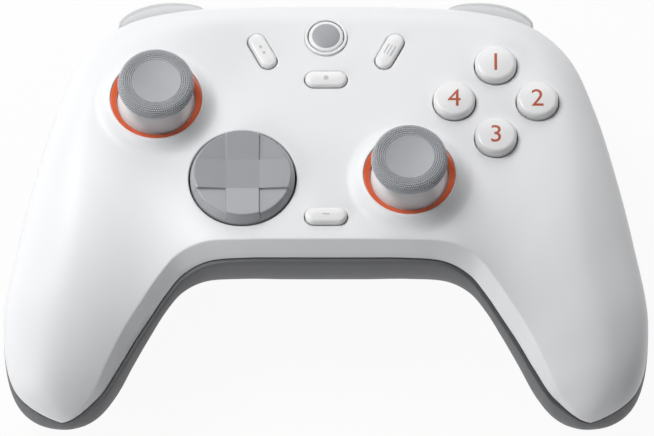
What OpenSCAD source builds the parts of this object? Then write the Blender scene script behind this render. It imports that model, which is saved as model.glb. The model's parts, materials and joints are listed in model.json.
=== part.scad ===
/* [Casing outline] */
// Half width of the casing at its widest, on the parting line
half_w = 77.3; // [73:0.1:81]
// Distance from the middle of the face to the top edge
top_y = 39.5; // [38.5:0.1:42]
// Distance from the middle of the face to the arch between the grips
arch_y = 29.4; // [28.5:0.1:31]
// Distance of the grip tips below the middle of the face
tip_y = 61.3; // [57:0.1:66]
// Distance of the grip tips from the centre line
tip_x = 63.5; // [61:0.1:66]

/* [Casing heights] */
// Depth of the parting line below the face at the arch
arch_drop = 5.6; // [4.6:0.1:6.5]
// Depth of the parting line below the face at the top edge
edge_drop = 6; // [5:0.1:7]
// Depth of the parting line below the face at the grip tips
tip_drop = 29.5; // [27:0.1:32]
// Depth of the hump under the middle of the casing
hump_drop = 38.6; // [37.5:0.1:41]
// Thickness of both shells
wall = 2; // [1.6:0.1:2.4]
// Open line between the two shells
part_gap = 0.35; // [0.2:0.05:0.6]
// How far the rear shell stands out past the front shell along the arch
ledge = 0.9; // [0.3:0.1:1.4]
// Lean of the face when the controller lies on a table, in degrees
tilt = 7.5; // [6:0.1:9]

/* [Layout of the face] */
// Row of the left stick and the face buttons
upper_y = 10.6; // [10:0.1:11.4]
// Row of the direction disc and the right stick
lower_y = -10.4; // [-11:0.1:-10]
// Left stick and face buttons from the centre line
outer_x = 40.8; // [40:0.1:42]
// Direction disc and right stick from the centre line
inner_x = 20; // [19.5:0.1:20.5]
// Home button above the middle of the face
home_y = 28.6; // [28:0.1:29.5]
// Slanted buttons from the centre line
side_pill_x = 15.3; // [14.5:0.1:16]
// Slanted buttons above the middle of the face
side_pill_y = 24.6; // [24:0.1:25.5]
// Lean of the slanted buttons away from upright, in degrees
side_pill_lean = 27; // [15:1:35]
// Small button under the home button
capture_y = 16.8; // [15.5:0.1:18]
// Small button at the bottom
mode_y = -21; // [-21.6:0.1:-20]

/* [Sticks] */
// Radius of the stick cap
cap_r = 9; // [8.6:0.1:9.3]
// Height of the stick cap's rim above the face
cap_top = 10.4; // [10:0.1:12]
// Thickness of the stick cap's rim
cap_rim_h = 4.2; // [3.4:0.1:4.6]
// Radius of the smooth dish in the cap
dish_r = 5.8; // [5:0.1:6.4]
// Depth of the dish
dish_depth = 0.8; // [0.4:0.1:1.2]
// Outer radius of the ring round the stick
ring_r = 11.05; // [10.8:0.05:11.6]
// Inner radius of the ring
ring_bore = 9.5; // [9.4:0.05:9.8]
// Height of the ring's outer edge above the face
ring_top = 1.55; // [1.3:0.05:1.9]
// Width of the raised collar outside the ring
collar_w = 4.3; // [3.4:0.1:4.6]
// Depth of the stick's pivot below the face
pivot_drop = 10; // [9.9:0.05:10.2]
// Radius of the dome under the cap, about the pivot
dome_r = 13.9; // [13.7:0.05:14]
// Thickness of the dome
dome_wall = 0.9; // [0.7:0.1:1]
// Tilt of the stick to each side, in degrees
stick_tilt = 17; // [12:1:17]
// Travel of the stick when it is pressed
stick_press = 0.5; // [0.3:0.1:0.6]

/* [Buttons] */
// Distance of each face button from the middle of the four
face_pitch = 10; // [9.8:0.1:10.4]
// Radius of a face button
face_r = 5; // [4.6:0.1:5.1]
// Height of a face button above the face
face_top = 2.2; // [1.8:0.1:2.8]
// Travel of a face button
face_travel = 1.3; // [0.8:0.1:1.5]
// Width of a small button
pill_w = 4.2; // [3.6:0.1:4.6]
// Length of a small button
pill_l = 10; // [9:0.1:10.6]
// Height of a small button above the face
pill_top = 1; // [0.7:0.1:1.4]
// Travel of a small button
pill_travel = 0.6; // [0.3:0.1:0.7]
// Radius of the home button
home_r = 4.2; // [3.8:0.1:4.4]
// Width of the light ring round the home button
home_ring_w = 0.65; // [0.5:0.05:0.8]
// Open space round every button
button_gap = 0.25; // [0.2:0.05:0.35]
// Radius of the direction disc at the face
dpad_r = 12.6; // [12.3:0.1:12.8]
// Radius of the direction disc at its top
dpad_top_r = 11.75; // [11.2:0.05:12]
// Height of the direction disc above the face
dpad_top = 2.45; // [2:0.05:3]
// Width of the arms of the cross on the disc
dpad_arm = 8; // [7:0.1:9]
// Rise of the arms from the middle to the rim, in degrees
dpad_slope = 5; // [3:0.5:7]
// Step from an arm down to the corner beside it
dpad_step = 0.45; // [0.3:0.05:0.7]
// Rocking of the direction disc to each side, in degrees
dpad_rock = 4; // [2:0.5:4]

/* [Bumpers and triggers] */
// How far the middle of a bumper stands out past the casing
bumper_proud = 3.6; // [2.5:0.1:4.2]
// Height of a bumper
bumper_h = 8.6; // [8:0.1:9]
// Depth of a bumper's upper face below the face
bumper_drop = 4; // [3.8:0.1:4.2]
// Turn of a bumper when it is pressed, in degrees
bumper_turn = 2.4; // [1:0.1:2.5]
// Depth of a trigger's tip below the face
trigger_drop = 28; // [26:0.5:29]
// Distance of a trigger's tip past the top edge of the casing
trigger_reach = 9.4; // [7:0.1:10]
// Thickness of a trigger's blade
trigger_wall = 2.4; // [2:0.1:2.8]
// Turn of a trigger when it is pulled, in degrees
trigger_turn = 16; // [10:1:16]
// Radius of a trigger's pin
pin_r = 1.5; // [1.2:0.1:1.6]

/* [Inside] */
// Depth of the button board's upper face below the face
button_board_drop = 9.8; // [9.7:0.1:9.9]
// Thickness of the button board
button_board_h = 1.2; // [1:0.1:1.4]
// Thickness of the main board
main_board_h = 1.6; // [1.2:0.1:1.8]
// Height of the stick pivot above the main board
module_pivot_h = 6.4; // [6.2:0.1:6.8]
// Width of a stick module's housing
module_w = 17; // [16.6:0.1:17.2]
// Width of the battery
battery_w = 34; // [30:0.5:34]
// Length of the battery
battery_l = 34; // [28:0.5:34]
// Thickness of the battery
battery_h = 9; // [7:0.5:10]
// Radius of a rumble motor's can
motor_r = 5.5; // [5:0.1:6]
// Length of a rumble motor's can
motor_l = 13; // [11:0.5:13]
// Radius of a rumble motor's weight
weight_r = 7.5; // [6.5:0.1:7.8]
// Width of the charging socket
usb_w = 8.94; // [8.6:0.02:9.2]
// Height of the charging socket
usb_h = 3.2; // [2.9:0.05:3.4]
// Running clearance between parts that turn or slide on each other
run_gap = 0.08; // [0.04:0.01:0.1]

/* [Hidden] */
$fn = 48;

white = [0.93, 0.93, 0.94];
pale_grey = [0.72, 0.73, 0.75];
mid_grey = [0.55, 0.57, 0.59];
dark_grey = [0.42, 0.43, 0.45];
orange = [0.91, 0.35, 0.2];
board_green = [0.1, 0.3, 0.18];
steel = [0.7, 0.71, 0.72];
foil = [0.75, 0.77, 0.8];
black = [0.15, 0.15, 0.16];
rubber = [0.25, 0.25, 0.27];

// Number of sections from the middle of the casing to a grip tip
SECTIONS = 30;
// Points across the face, across the inside and across the underside
FACE_POINTS = 18;
INSIDE_POINTS = 8;
UNDER_POINTS = 18;
// Step number of the grip tip along the outline, which has twice as many steps
TIP = 10;

// Lowest point of the hump, as a share of the way from the top edge to the arch, and its place
HUMP_SHARE = 0.33;
hump_y = top_y - HUMP_SHARE * (top_y + arch_y + ledge);
// Middle of a grip where it is deepest, and how much the table cuts off there
GRIP_Y = -45.2;
FOOT_CUT = 0.35;
// Height of the face's middle over the table, and depth of the grips that reach the same table
seat_z = cos(tilt) * hump_drop + sin(tilt) * hump_y;
grip_drop = (seat_z - sin(tilt) * GRIP_Y) / cos(tilt) + FOOT_CUT;

// The parting line of the right half: top centre, shoulder, side, grip tip, arch centre
outline = [
    [0, top_y], [18, top_y - 0.1], [35, top_y - 1], [49, top_y - 4.5], [58.8, top_y - 13],
    [64.8, 13], [69.6, -3], [half_w - 3.5, -20], [half_w, -39], [half_w - 2.7, 6.6 - tip_y],
    [tip_x, -tip_y],
    [tip_x - 8.5, 4.1 - tip_y], [50, -51.3], [46, -45.6], [42.2, -40.7],
    [38.5, -36.1], [34.2, -arch_y - 2.6], [28, -arch_y - 0.4], [19, -arch_y], [9.5, -arch_y], [0, -arch_y]];
// Heights along the outline, one for each step from the middle to the grip tip
outer_line = [-edge_drop, -edge_drop - 0.2, -edge_drop - 0.8, -8, -9.6, -11.2,
    -13.4, -16.6, -21, -26, -tip_drop];
inner_line = [-arch_drop, -arch_drop, -arch_drop - 0.1, -6.6, -9.2, -12.2,
    -15.2, -18.2, -21.6, -25.6, -tip_drop];
crown_line = [0, 0, 0, 0, 0, -0.6, -2.2, -5.5, -11, -19, -tip_drop];
under_line = [-hump_drop, -hump_drop, -hump_drop + 0.8, -hump_drop + 2.4, 3.6 - hump_drop, 4 - hump_drop,
    9.5 - grip_drop, 4 - grip_drop, -grip_drop, 6.5 - grip_drop, -tip_drop];
// Width and height of the bevel along the arch, which fades out down the grips
bevel_width = [2.4, 2.4, 2.4, 2.7, 3.1, 3.2, 3.1, 2.9, 2.4, 1.4, 0];
bevel_height = [5, 5, 5, 5.1, 5.2, 5.2, 5, 4.6, 3.8, 2.2, 0];
// Width over which the face rolls down to the outer edge
roll_width = [8, 8, 8.5, 10.5, 14, 17, 19, 20, 18, 12, 1];
// Lowest point of the underside, as a share of the way from the outer to the inner edge
low_point = [HUMP_SHARE, HUMP_SHARE, HUMP_SHARE + 0.01, 0.38, 0.43, 0.47, 0.5, 0.5, 0.5, 0.5, 0.5];
// Roundness of the rolled edge and of the underside, where 2 is a circle
ROUNDNESS = 2.4;
// Share of the face's width that stays level before it falls towards the arch
LEVEL_SHARE = 0.32;

// Curve through a list of values, and through the outline's points
function curve(a, b, c, d, t) =
    0.5 * (2 * b + (c - a) * t + (2 * a - 5 * b + 4 * c - d) * t * t + (3 * b - a - 3 * c + d) * t * t * t);
function along(v, k) =
    let (i = min(floor(k), TIP - 1), before = i > 0 ? v[i - 1] : v[1],
         after = i < TIP - 1 ? v[i + 2] : 2 * v[TIP] - v[TIP - 1])
    curve(before, v[i], v[i + 1], after, k - i);
function flip_x(p) = [-p[0], p[1]];
function rim(t) =
    let (last = 2 * TIP, i = min(floor(t), last - 1),
         before = i > 0 ? outline[i - 1] : flip_x(outline[1]),
         after = i < last - 1 ? outline[i + 2] : flip_x(outline[last - 1]))
    curve(before, outline[i], outline[i + 1], after, t - i);
function rim_normal(t) =
    let (step = 0.01, v = rim(min(t + step, 2 * TIP)) - rim(max(t - step, 0)))
    [-v[1], v[0]] / norm(v);
// A point on the outline moved outwards by d
function rim_out(t, d) = rim(t) + d * rim_normal(t);
function rolled(q) = pow(1 - pow(1 - min(1, q), ROUNDNESS), 1 / ROUNDNESS);

// One section of the face, from the outer edge over the face to the arch edge
function face_section(k, inset, points) =
    let (p = rim_out(k, -inset), q = rim_out(2 * TIP - k, -inset), span = norm(q - p),
         zo = along(outer_line, k), zi = along(inner_line, k), zc = along(crown_line, k) - inset,
         ze = zi + max(0, along(bevel_height, k) - inset),
         flat = max(0.5, 1 - along(bevel_width, k) / span), roll = max(0.5, along(roll_width, k)))
    [for (m = [0:points])
        let (s = 1 - cos(90 * m / points), c = s * flat,
             fall = max(0, (s - LEVEL_SHARE) / (1 - LEVEL_SHARE)),
             level = zc - (zc - ze) * fall * fall, at = p + (q - p) * c)
        [at[0], at[1], zo + max(0, level - zo) * rolled(c * span / roll)],
     [q[0], q[1], zi]];
// One section of the underside, from the outer edge under the casing to the arch edge
function under_section(k, inset, points) =
    let (p = rim_out(k, -inset), q = rim_out(2 * TIP - k, ledge * min(1, TIP - k) - inset),
         zo = along(outer_line, k) - part_gap, zi = along(inner_line, k) - part_gap,
         deep = max(0, (zo + zi) / 2 - along(under_line, k) - inset),
         skew = ln(along(low_point, k)) / ln(0.5))
    [for (m = [0:points])
        let (a = 180 * m / points, turn = pow(abs(cos(a)), 2 / ROUNDNESS),
             even = (1 - sign(cos(a)) * turn) / 2, s = pow(even, skew),
             dip = pow(abs(sin(a)), 2 / ROUNDNESS), at = p + (q - p) * s)
        [at[0], at[1], zo + (zi - zo) * s - deep * dip]];
function mirrored(section) = [for (p = section) [-p[0], p[1], p[2]]];
// All sections from the left grip to the right grip, without the tips
function all_sections(right) =
    [for (i = [len(right) - 1:-1:1]) mirrored(right[i]), for (s = right) s];
function section_steps() = [for (i = [0:SECTIONS - 1]) TIP * i / SECTIONS];

// A closed wall between an outer and an inner skin of sections, which meet in one point at each tip
module walled(outer, inner, tips, inner_tips, inverted) {
    count = len(outer);
    no = len(outer[0]);
    ni = len(inner[0]);
    base = count * no;
    left = base + count * ni;
    right = left + 1;
    left_in = left + 2;
    right_in = left + 3;
    points = [for (s = outer) each s, for (s = inner) each s, each tips, each inner_tips];
    function o(a, m) = a < 0 ? left : a == count ? right : a * no + m;
    function n(a, m) = a < 0 ? left_in : a == count ? right_in : base + a * ni + m;
    quads = [for (a = [-1:count - 1]) each [
        for (m = [0:no - 2]) [o(a, m), o(a + 1, m), o(a + 1, m + 1), o(a, m + 1)],
        for (m = [0:ni - 2]) [n(a, m), n(a, m + 1), n(a + 1, m + 1), n(a + 1, m)],
        [o(a + 1, 0), o(a, 0), n(a, 0), n(a + 1, 0)],
        [o(a, no - 1), o(a + 1, no - 1), n(a + 1, ni - 1), n(a, ni - 1)]]];
    triangles = [for (f = quads) each [[f[0], f[1], f[2]], [f[0], f[2], f[3]]]];
    sound = [for (f = triangles) if (f[0] != f[1] && f[1] != f[2] && f[2] != f[0]) f];
    polyhedron(points, inverted ? [for (f = sound) [f[2], f[1], f[0]]] : sound);
}
// A solid skinned over rings of points, with flat ends
module lofted(rings) {
    count = len(rings);
    n = len(rings[0]);
    sides = [for (a = [0:count - 2], i = [0:n - 1])
        let (j = (i + 1) % n)
        each [[a * n + i, a * n + j, (a + 1) * n + j], [a * n + i, (a + 1) * n + j, (a + 1) * n + i]]];
    polyhedron([for (r = rings) each r],
        concat(sides, [[for (i = [n - 1:-1:0]) i], [for (i = [0:n - 1]) (count - 1) * n + i]]));
}
// Six-sided rings round the points of a wire's path
function wire_rings(path) =
    [for (i = [0:len(path) - 1])
        let (v = path[min(i + 1, len(path) - 1)] - path[max(i - 1, 0)], t = v / norm(v),
             side = cross(t, abs(t[0]) > 0.8 ? [0, -1, 0] : [1, 0, 0]),
             u = side / norm(side), w = cross(t, u))
        [for (j = [0:5]) path[i] + wire_r * (cos(60 * j) * u + sin(60 * j) * w)]];
function tips_at(inset, z) =
    let (p = rim_out(TIP, -inset)) [[-p[0], p[1], z], [p[0], p[1], z]];

module both() {
    children();
    mirror([1, 0, 0])
        children();
}
module tube(r, bore, h) {
    difference() {
        cylinder(r = r, h = h);
        translate([0, 0, -1])
            cylinder(r = bore, h = h + 2);
    }
}
// A flat outline with round ends, standing on z = 0
module pill(w, l, h) {
    reach = (l - w) / 2;
    translate([-reach, -w / 2, 0])
        cube([2 * reach, w, h]);
    for (x = [-reach, reach])
        translate([x, 0, 0])
            cylinder(r = w / 2, h = h);
}

// Where the parts lie under the face
left_stick_at = [-outer_x, upper_y];
right_stick_at = [inner_x, lower_y];
dpad_at = [-inner_x, lower_y];
face_at = [outer_x, upper_y];
face_top_at = face_at + [0, face_pitch];
face_left_at = face_at - [face_pitch, 0];
face_right_at = face_at + [face_pitch, 0];
face_bottom_at = face_at - [0, face_pitch];
face_places = [face_top_at, face_left_at, face_right_at, face_bottom_at];
// Small buttons: x, y and turn
view_at = [-side_pill_x, side_pill_y, 90 + side_pill_lean];
menu_at = [side_pill_x, side_pill_y, 90 - side_pill_lean];
capture_at = [0, capture_y, 0];
mode_at = [0, mode_y, 0];
pill_places = [view_at, menu_at, capture_at, mode_at];

// Sleeves of the front shell that guide the buttons, and the flanges that stop under them
sleeve_wall = 1.2;
sleeve_drop = 5.6;
pill_sleeve_drop = 4;
flange_gap = 0.1;
flange_h = 1.2;
flange_w = 1.2;
stem_r = 1.3;
face_edge = 1.1;
face_crown = 0.25;
pill_edge = 0.3;
pill_stem_drop = 7;
home_sleeve_drop = 2.9;
home_ring_r = home_r + button_gap + home_ring_w;
home_flange_w = 0.8;
home_ring_top = 0.5;
home_top = 0.9;
edge_round = 0.15;
face_under = -sleeve_drop - flange_gap - flange_h;
pill_under = -pill_sleeve_drop - flange_gap - flange_h;

// Boards
main_board_top = -pivot_drop - module_pivot_h;
main_board_under = main_board_top - main_board_h;
button_board_top = -button_board_drop;
button_board_under = button_board_top - button_board_h;
button_board_edge = [[-21, 33], [21, 33], [27, 25.5], [45, 25.5], [55, 21], [58.5, 9], [56, -7.5], [37, -7.5],
    [20, 0], [6, -14], [8, -25.5], [-36, -25.5], [-39, -17], [-35, -5], [-24, 8]];
main_board_edge = [[-53, 25], [-9, 25], [-9, 34], [9, 34], [9, 25], [36, 25], [36, -24.5],
    [-30, -24.5], [-53, -14]];
pad_h = 0.6;
link_size = [14, 3];
link_at = [-7, -6];

// Case screws beside the battery and in the grips, and the bosses that take them
case_screw_at = [22.4, 16.5];
grip_screw_at = [62.5, -46];
boss_r = 3.2;
screw_r = 1.3;
screw_gap = 0.05;
head_r = 2.5;
head_h = 1.8;
head_room = 0.3;
tube_r = head_r + head_room + 1.2;
boss_gap = 0.3;
case_boss_under = -22;
grip_boss_under = -24;
case_seat = -30;
grip_seat = -36;
screw_bite = 8;
// Posts under the face for the button board, and posts on the floor for the main board
button_posts = [[0, 5], [53, -3.5], [-35, -21.5]];
main_posts = [[-50.5, -3], [-46, -16], [32.4, 7], [31, -22.5]];
post_r = 2.2;
small_screw_r = 0.9;
small_head_r = 1.7;
small_head_h = 1.2;
small_screw_l = 5;

// Opening for a bumper and a trigger in the top edge
shoulder_in = 28.3;
shoulder_out = 50.6;
shoulder_y = 24;
lip_gap = 0.4;
shoulder_lip = lip_gap - bumper_drop;
// Steps of the outline where a bumper starts and ends
bumper_from = 1.66;
bumper_to = 3.06;
bumper_back = 3.9;
// Pin that a bumper turns on
lug_at = [26.5, top_y - 7];
lug_r = 2.8;
lug_pin_r = 1.2;
lug_z = [-11, -6];
// Trigger pin, and what lies along it from the middle outwards
trigger_y = top_y - 11.9;
trigger_z = -13.5;
ear_w = 1.8;
ear_inset = 0.6;
spring_l = 2.4;
spring_gap = 0.3;
hub_l = 11.4;
hub_gap = 0.4;
ear_r = 2.7;
hub_r = 3;
arm_w = 2;
arm_inset = 0.7;
ear_in = [shoulder_in + ear_inset, shoulder_in + ear_inset + ear_w];
spring_span = [ear_in[1] + spring_gap, ear_in[1] + spring_gap + spring_l];
hub_span = [spring_span[1] + hub_gap, spring_span[1] + hub_gap + hub_l];
ear_out = [hub_span[1] + hub_gap, hub_span[1] + hub_gap + ear_w];
arm_places = [hub_span[0] + arm_inset, hub_span[1] - arm_inset - arm_w];
magnet_at = [trigger_y + 4.9, trigger_z - 1.9];
magnet_r = 1.5;
magnet_h = 1.2;
sensor_w = 0.8;
sensor_half = 1.4;
sensor_edge = 0.4;
// Lower corner of a trigger's arm, and the floor of the opening, which clears it when it is pulled
arm_corner = [top_y + 1 - trigger_y, 8];
shoulder_floor = trigger_z - arm_corner[1] * cos(trigger_turn) - arm_corner[0] * sin(trigger_turn) - 2.2;
// Wire of a trigger's spring, and the depth of its free leg under the pin
wire_r = 0.35;
coil_gap = 0.3;
leg_under = -4.4;
leg_reach = 4;
COIL_TURNS = 2;
COIL_STEPS = 12;
// Bar of the inner frame behind the pins
bar_y = [trigger_y - 6, trigger_y - 3.4];
bar_top = -11.4;
// Shelf for a bumper's switch on the outer ear, and the switch in front of it
shelf_y = trigger_y - 0.4;
shelf_l = 2;
shelf_z = [-9.9, -5.6];
switch_w = 3.6;
switch_l = 2.2;
switch_h = 3.4;
switch_gap = 0.6;
// Step of the outline beside the switch
SWITCH_STEP = 2.62;
lug_pad_h = 1.8;

// Charging socket on the main board, with its mouth in the top edge
usb_l = 7.4;
usb_y = top_y - 0.8 - usb_l;
usb_wall = 0.35;
usb_room = 0.5;
// Battery and the tray under it
tray_top = 6 - hump_drop;
battery_y = 8;
tray_wall = 1.2;
tray_rim = 3;
tray_gap = 0.2;
// Rumble motors across the grips
motor_at = [57, -27, -24];
motor_gap = 0.1;
shaft_r = 1;
weight_l = 6.6;
weight_x = motor_at[0] - 1 - weight_l;
cradle_places = [1.5, 9];
cradle_w = 2;
// Inside of a stick module, about its pivot
shaft_stick_r = 2;
shaft_under = 3;
cross_pin_r = 0.8;
cross_pin_l = 8.4;
arm_frame = [9, 9, 4];
arm_window = [5.2, 7.2];
trunnion_r = 1.4;
module_wall = 0.8;
module_top = 2.4;
trunnion_l = module_w / 2 - 0.1;
arch_gap = 0.2;
arch_wall = 1.1;
arch_outside = module_w / 2 - module_wall - arch_gap;
arch_r = [arch_outside - arch_wall, arch_outside];
arch_w = 6;
arch_slot = [2 * (arch_r[0] - 1), 2 * shaft_stick_r + 0.6];
sensor_box = [2.6, 10, 8];
press_switch_h = 1.1;
// Height of the ledge that the ring lies on, and free space for the dome under the face
ring_seat = 0.05;
dome_room = dome_r + 0.45;
dome_skirt = asin(ring_bore / dome_r) + 1.35 * stick_tilt;
stem_top_r = 4;
stem_bite = 1.4;
board_stick_cut = dome_r + 1.3;
// Direction disc: pivot ball, hub and flange under the face
dpad_pivot_z = -2;
dpad_ball_r = 1.5;
dpad_cup_r = [1.6, 2.2];
dpad_cup_cut = 0.7;
dpad_post_r = 1.2;
dpad_gap = 0.4;
dpad_flange = [13.7, -5, 0.9];
dpad_roof = 1.2;
dpad_nub_r = 1.6;
dpad_nub_at = 8.5;
dpad_nub_under = -7;
dpad_hub_wall = 1.4;
dpad_rim_wall = 1.4;

// Distance of a point along the table, seen from the middle of the face
function table_y(p) = cos(tilt) * p[1] + sin(tilt) * p[2];
function along_table(rings) = [for (r = rings) each [for (p = r) table_y(p)]];
// Shift that puts the middle of the controller over the origin
grip_rings = [for (k = section_steps()) under_section(k, 0, UNDER_POINTS), tips_at(0, -tip_drop - part_gap)];
seat_y = -(max(along_table(trigger_rings(trigger_wall))) + min(along_table(grip_rings))) / 2;
module seat() {
    translate([0, seat_y, seat_z])
        rotate([-tilt, 0, 0])
            children();
}
module on_face(p) {
    translate([p[0], p[1], 0])
        children();
}
module at_pill(p) {
    translate([p[0], p[1], 0])
        rotate([0, 0, p[2]])
            children();
}
// A cylinder along X between two places
module bar_x(span, r) {
    translate([span[0], 0, 0])
        rotate([0, 90, 0])
            cylinder(r = r, h = span[1] - span[0]);
}
module lifted(z) {
    translate([0, 0, z])
        children();
}

// Casing
module shell_front() {
    steps = section_steps();
    walled(all_sections([for (k = steps) face_section(k, 0, FACE_POINTS)]),
        all_sections([for (k = steps) face_section(k, wall, INSIDE_POINTS)]),
        tips_at(0, -tip_drop), tips_at(wall, -tip_drop), false);
}
module shell_rear() {
    steps = section_steps();
    walled(all_sections([for (k = steps) under_section(k, 0, UNDER_POINTS)]),
        all_sections([for (k = steps) under_section(k, wall, INSIDE_POINTS)]),
        tips_at(0, -tip_drop - part_gap), tips_at(wall, -tip_drop - part_gap), true);
}
// The first and the last point of each section, moved up by z
function ends(sections, z) =
    [for (s = sections) [for (p = [s[0], s[len(s) - 1]]) [p[0], p[1], p[2] + z]]];
// Solid under the face and over the floor, half a wall inside the casing, which trims posts and bosses
module core_front() {
    skin = all_sections([for (k = section_steps()) face_section(k, wall / 2, INSIDE_POINTS)]);
    tips = tips_at(wall / 2, -tip_drop);
    walled(skin, ends(skin, -grip_drop), tips, ends([tips], -grip_drop)[0], false);
}
module core_rear() {
    skin = all_sections([for (k = section_steps()) under_section(k, wall / 2, INSIDE_POINTS)]);
    tips = tips_at(wall / 2, -tip_drop);
    walled(skin, ends(skin, grip_drop), tips, ends([tips], grip_drop)[0], true);
}
module collar() {
    top = ring_top + 0.3;
    inside = ring_r + screw_gap;
    foot = inside + collar_w;
    rotate_extrude($fn = 96)
        polygon([[inside - 2, 0.1 - wall], [foot, 0.1 - wall], [foot, -0.1],
            [inside + 0.72 * collar_w, 0.12], [inside + 0.5 * collar_w, 0.5],
            [inside + 0.32 * collar_w, 1.05], [inside + 0.22 * collar_w, top - 0.25],
            [inside + 0.14 * collar_w, top], [inside - 2, top]]);
}
module stick_opening() {
    lifted(-pivot_drop)
        sphere(r = dome_room, $fn = 96);
    lifted(ring_seat)
        cylinder(r = ring_r + screw_gap, h = 10, $fn = 96);
}
module front_posts() {
    for (p = button_posts)
        on_face(p)
            lifted(button_board_top)
                cylinder(r = post_r, h = button_board_drop);
    both()
        on_face(case_screw_at)
            lifted(case_boss_under)
                cylinder(r = boss_r, h = -case_boss_under);
    both()
        on_face(grip_screw_at)
            lifted(grip_boss_under)
                cylinder(r = boss_r, h = -grip_boss_under);
}
module button_sleeves() {
    for (p = face_places)
        on_face(p)
            lifted(-sleeve_drop)
                cylinder(r = face_r + button_gap + sleeve_wall, h = sleeve_drop - wall / 2);
    for (p = pill_places)
        at_pill(p)
            lifted(-pill_sleeve_drop)
                pill(pill_w + 2 * (button_gap + sleeve_wall), pill_l + 2 * (button_gap + sleeve_wall),
                    pill_sleeve_drop - wall / 2);
    on_face([0, home_y])
        lifted(-home_sleeve_drop)
            cylinder(r = home_ring_r + home_flange_w, h = home_sleeve_drop - wall / 2);
}
module button_holes() {
    for (p = face_places)
        on_face(p)
            lifted(-sleeve_drop - 1)
                cylinder(r = face_r + button_gap, h = sleeve_drop + 5);
    for (p = pill_places)
        at_pill(p)
            lifted(-pill_sleeve_drop - 1)
                pill(pill_w + 2 * button_gap, pill_l + 2 * button_gap, pill_sleeve_drop + 5);
    on_face([0, home_y])
        lifted(-sleeve_drop)
            cylinder(r = home_ring_r + screw_gap, h = sleeve_drop + 5);
    on_face(dpad_at)
        lifted(-sleeve_drop)
            cylinder(r = dpad_r + dpad_gap, h = sleeve_drop + 5, $fn = 96);
}
module front_screw_holes() {
    for (p = button_posts)
        on_face(p)
            lifted(button_board_top - 1)
                cylinder(r = small_screw_r + screw_gap, h = small_screw_l - button_board_h + 1.3);
    both()
        on_face(case_screw_at)
            lifted(case_boss_under - 1)
                cylinder(r = screw_r + screw_gap, h = screw_bite + 1.3);
    both()
        on_face(grip_screw_at)
            lifted(grip_boss_under - 1)
                cylinder(r = screw_r + screw_gap, h = screw_bite + 1.3);
}
module front_shell() {
    color(white) seat() difference() {
        union() {
            shell_front();
            on_face(left_stick_at)
                collar();
            on_face(right_stick_at)
                collar();
            button_sleeves();
            intersection() {
                front_posts();
                core_front();
            }
        }
        on_face(left_stick_at)
            stick_opening();
        on_face(right_stick_at)
            stick_opening();
        button_holes();
        front_screw_holes();
        both()
            translate([shoulder_in, lug_at[1] - 3, shoulder_lip - 30])
                cube([shoulder_out - shoulder_in, 30, 30]);
    }
}
module floor_tube(p, z) {
    on_face(p)
        lifted(-grip_drop - 5)
            cylinder(r = tube_r, h = grip_drop + 5 + z - boss_gap);
}
module floor_hole(p, seat_at, z) {
    on_face(p)
        lifted(-grip_drop - 10)
            cylinder(r = head_r + head_room, h = grip_drop + 10 + seat_at);
    on_face(p)
        lifted(seat_at - 1)
            cylinder(r = screw_r + screw_gap, h = z - seat_at + 2);
}
module motor_cradles() {
    for (x = cradle_places)
        translate([motor_at[0] + x, motor_at[1] - motor_r - 1, -grip_drop - 5])
            cube([cradle_w, 2 * motor_r + 2, grip_drop + 5 + motor_at[2]]);
}
// A box round the battery, wider by a margin, between two heights
module tray_box(margin, low, high) {
    translate([-battery_w / 2 - margin, battery_y - battery_l / 2 - margin, low])
        cube([battery_w + 2 * margin, battery_l + 2 * margin, high - low]);
}
module floor_parts() {
    both()
        floor_tube(case_screw_at, case_boss_under);
    both()
        floor_tube(grip_screw_at, grip_boss_under);
    both()
        motor_cradles();
    for (p = main_posts)
        on_face(p)
            lifted(-grip_drop)
                cylinder(r = post_r, h = grip_drop + main_board_under);
    tray_box(tray_gap + tray_wall, -grip_drop, tray_top + tray_rim);
}
module floor_cuts() {
    both()
        floor_hole(case_screw_at, case_seat, case_boss_under);
    both()
        floor_hole(grip_screw_at, grip_seat, grip_boss_under);
    for (p = main_posts)
        on_face(p)
            lifted(main_board_top - small_screw_l - 0.3)
                cylinder(r = small_screw_r + screw_gap, h = small_screw_l + 1);
    both()
        translate([0, motor_at[1], motor_at[2]])
            bar_x([motor_at[0] - 1, motor_at[0] + motor_l + 1], motor_r + motor_gap);
    tray_box(tray_gap, tray_top, tray_top + battery_h);
}
module rear_shell() {
    color(dark_grey) difference() {
        seat() difference() {
            union() {
                shell_rear();
                intersection() {
                    floor_parts();
                    core_rear();
                }
            }
            floor_cuts();
            both()
                translate([shoulder_in, shoulder_y, shoulder_floor])
                    cube([shoulder_out - shoulder_in, 40, 60]);
            translate([0, top_y + 5, main_board_top + usb_h / 2])
                rotate([90, 0, 0])
                    pill(usb_h + 2 * usb_room, usb_w + 2 * usb_room, 12);
        }
        translate([-100, -100, -40])
            cube([200, 200, 40]);
    }
}

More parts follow.
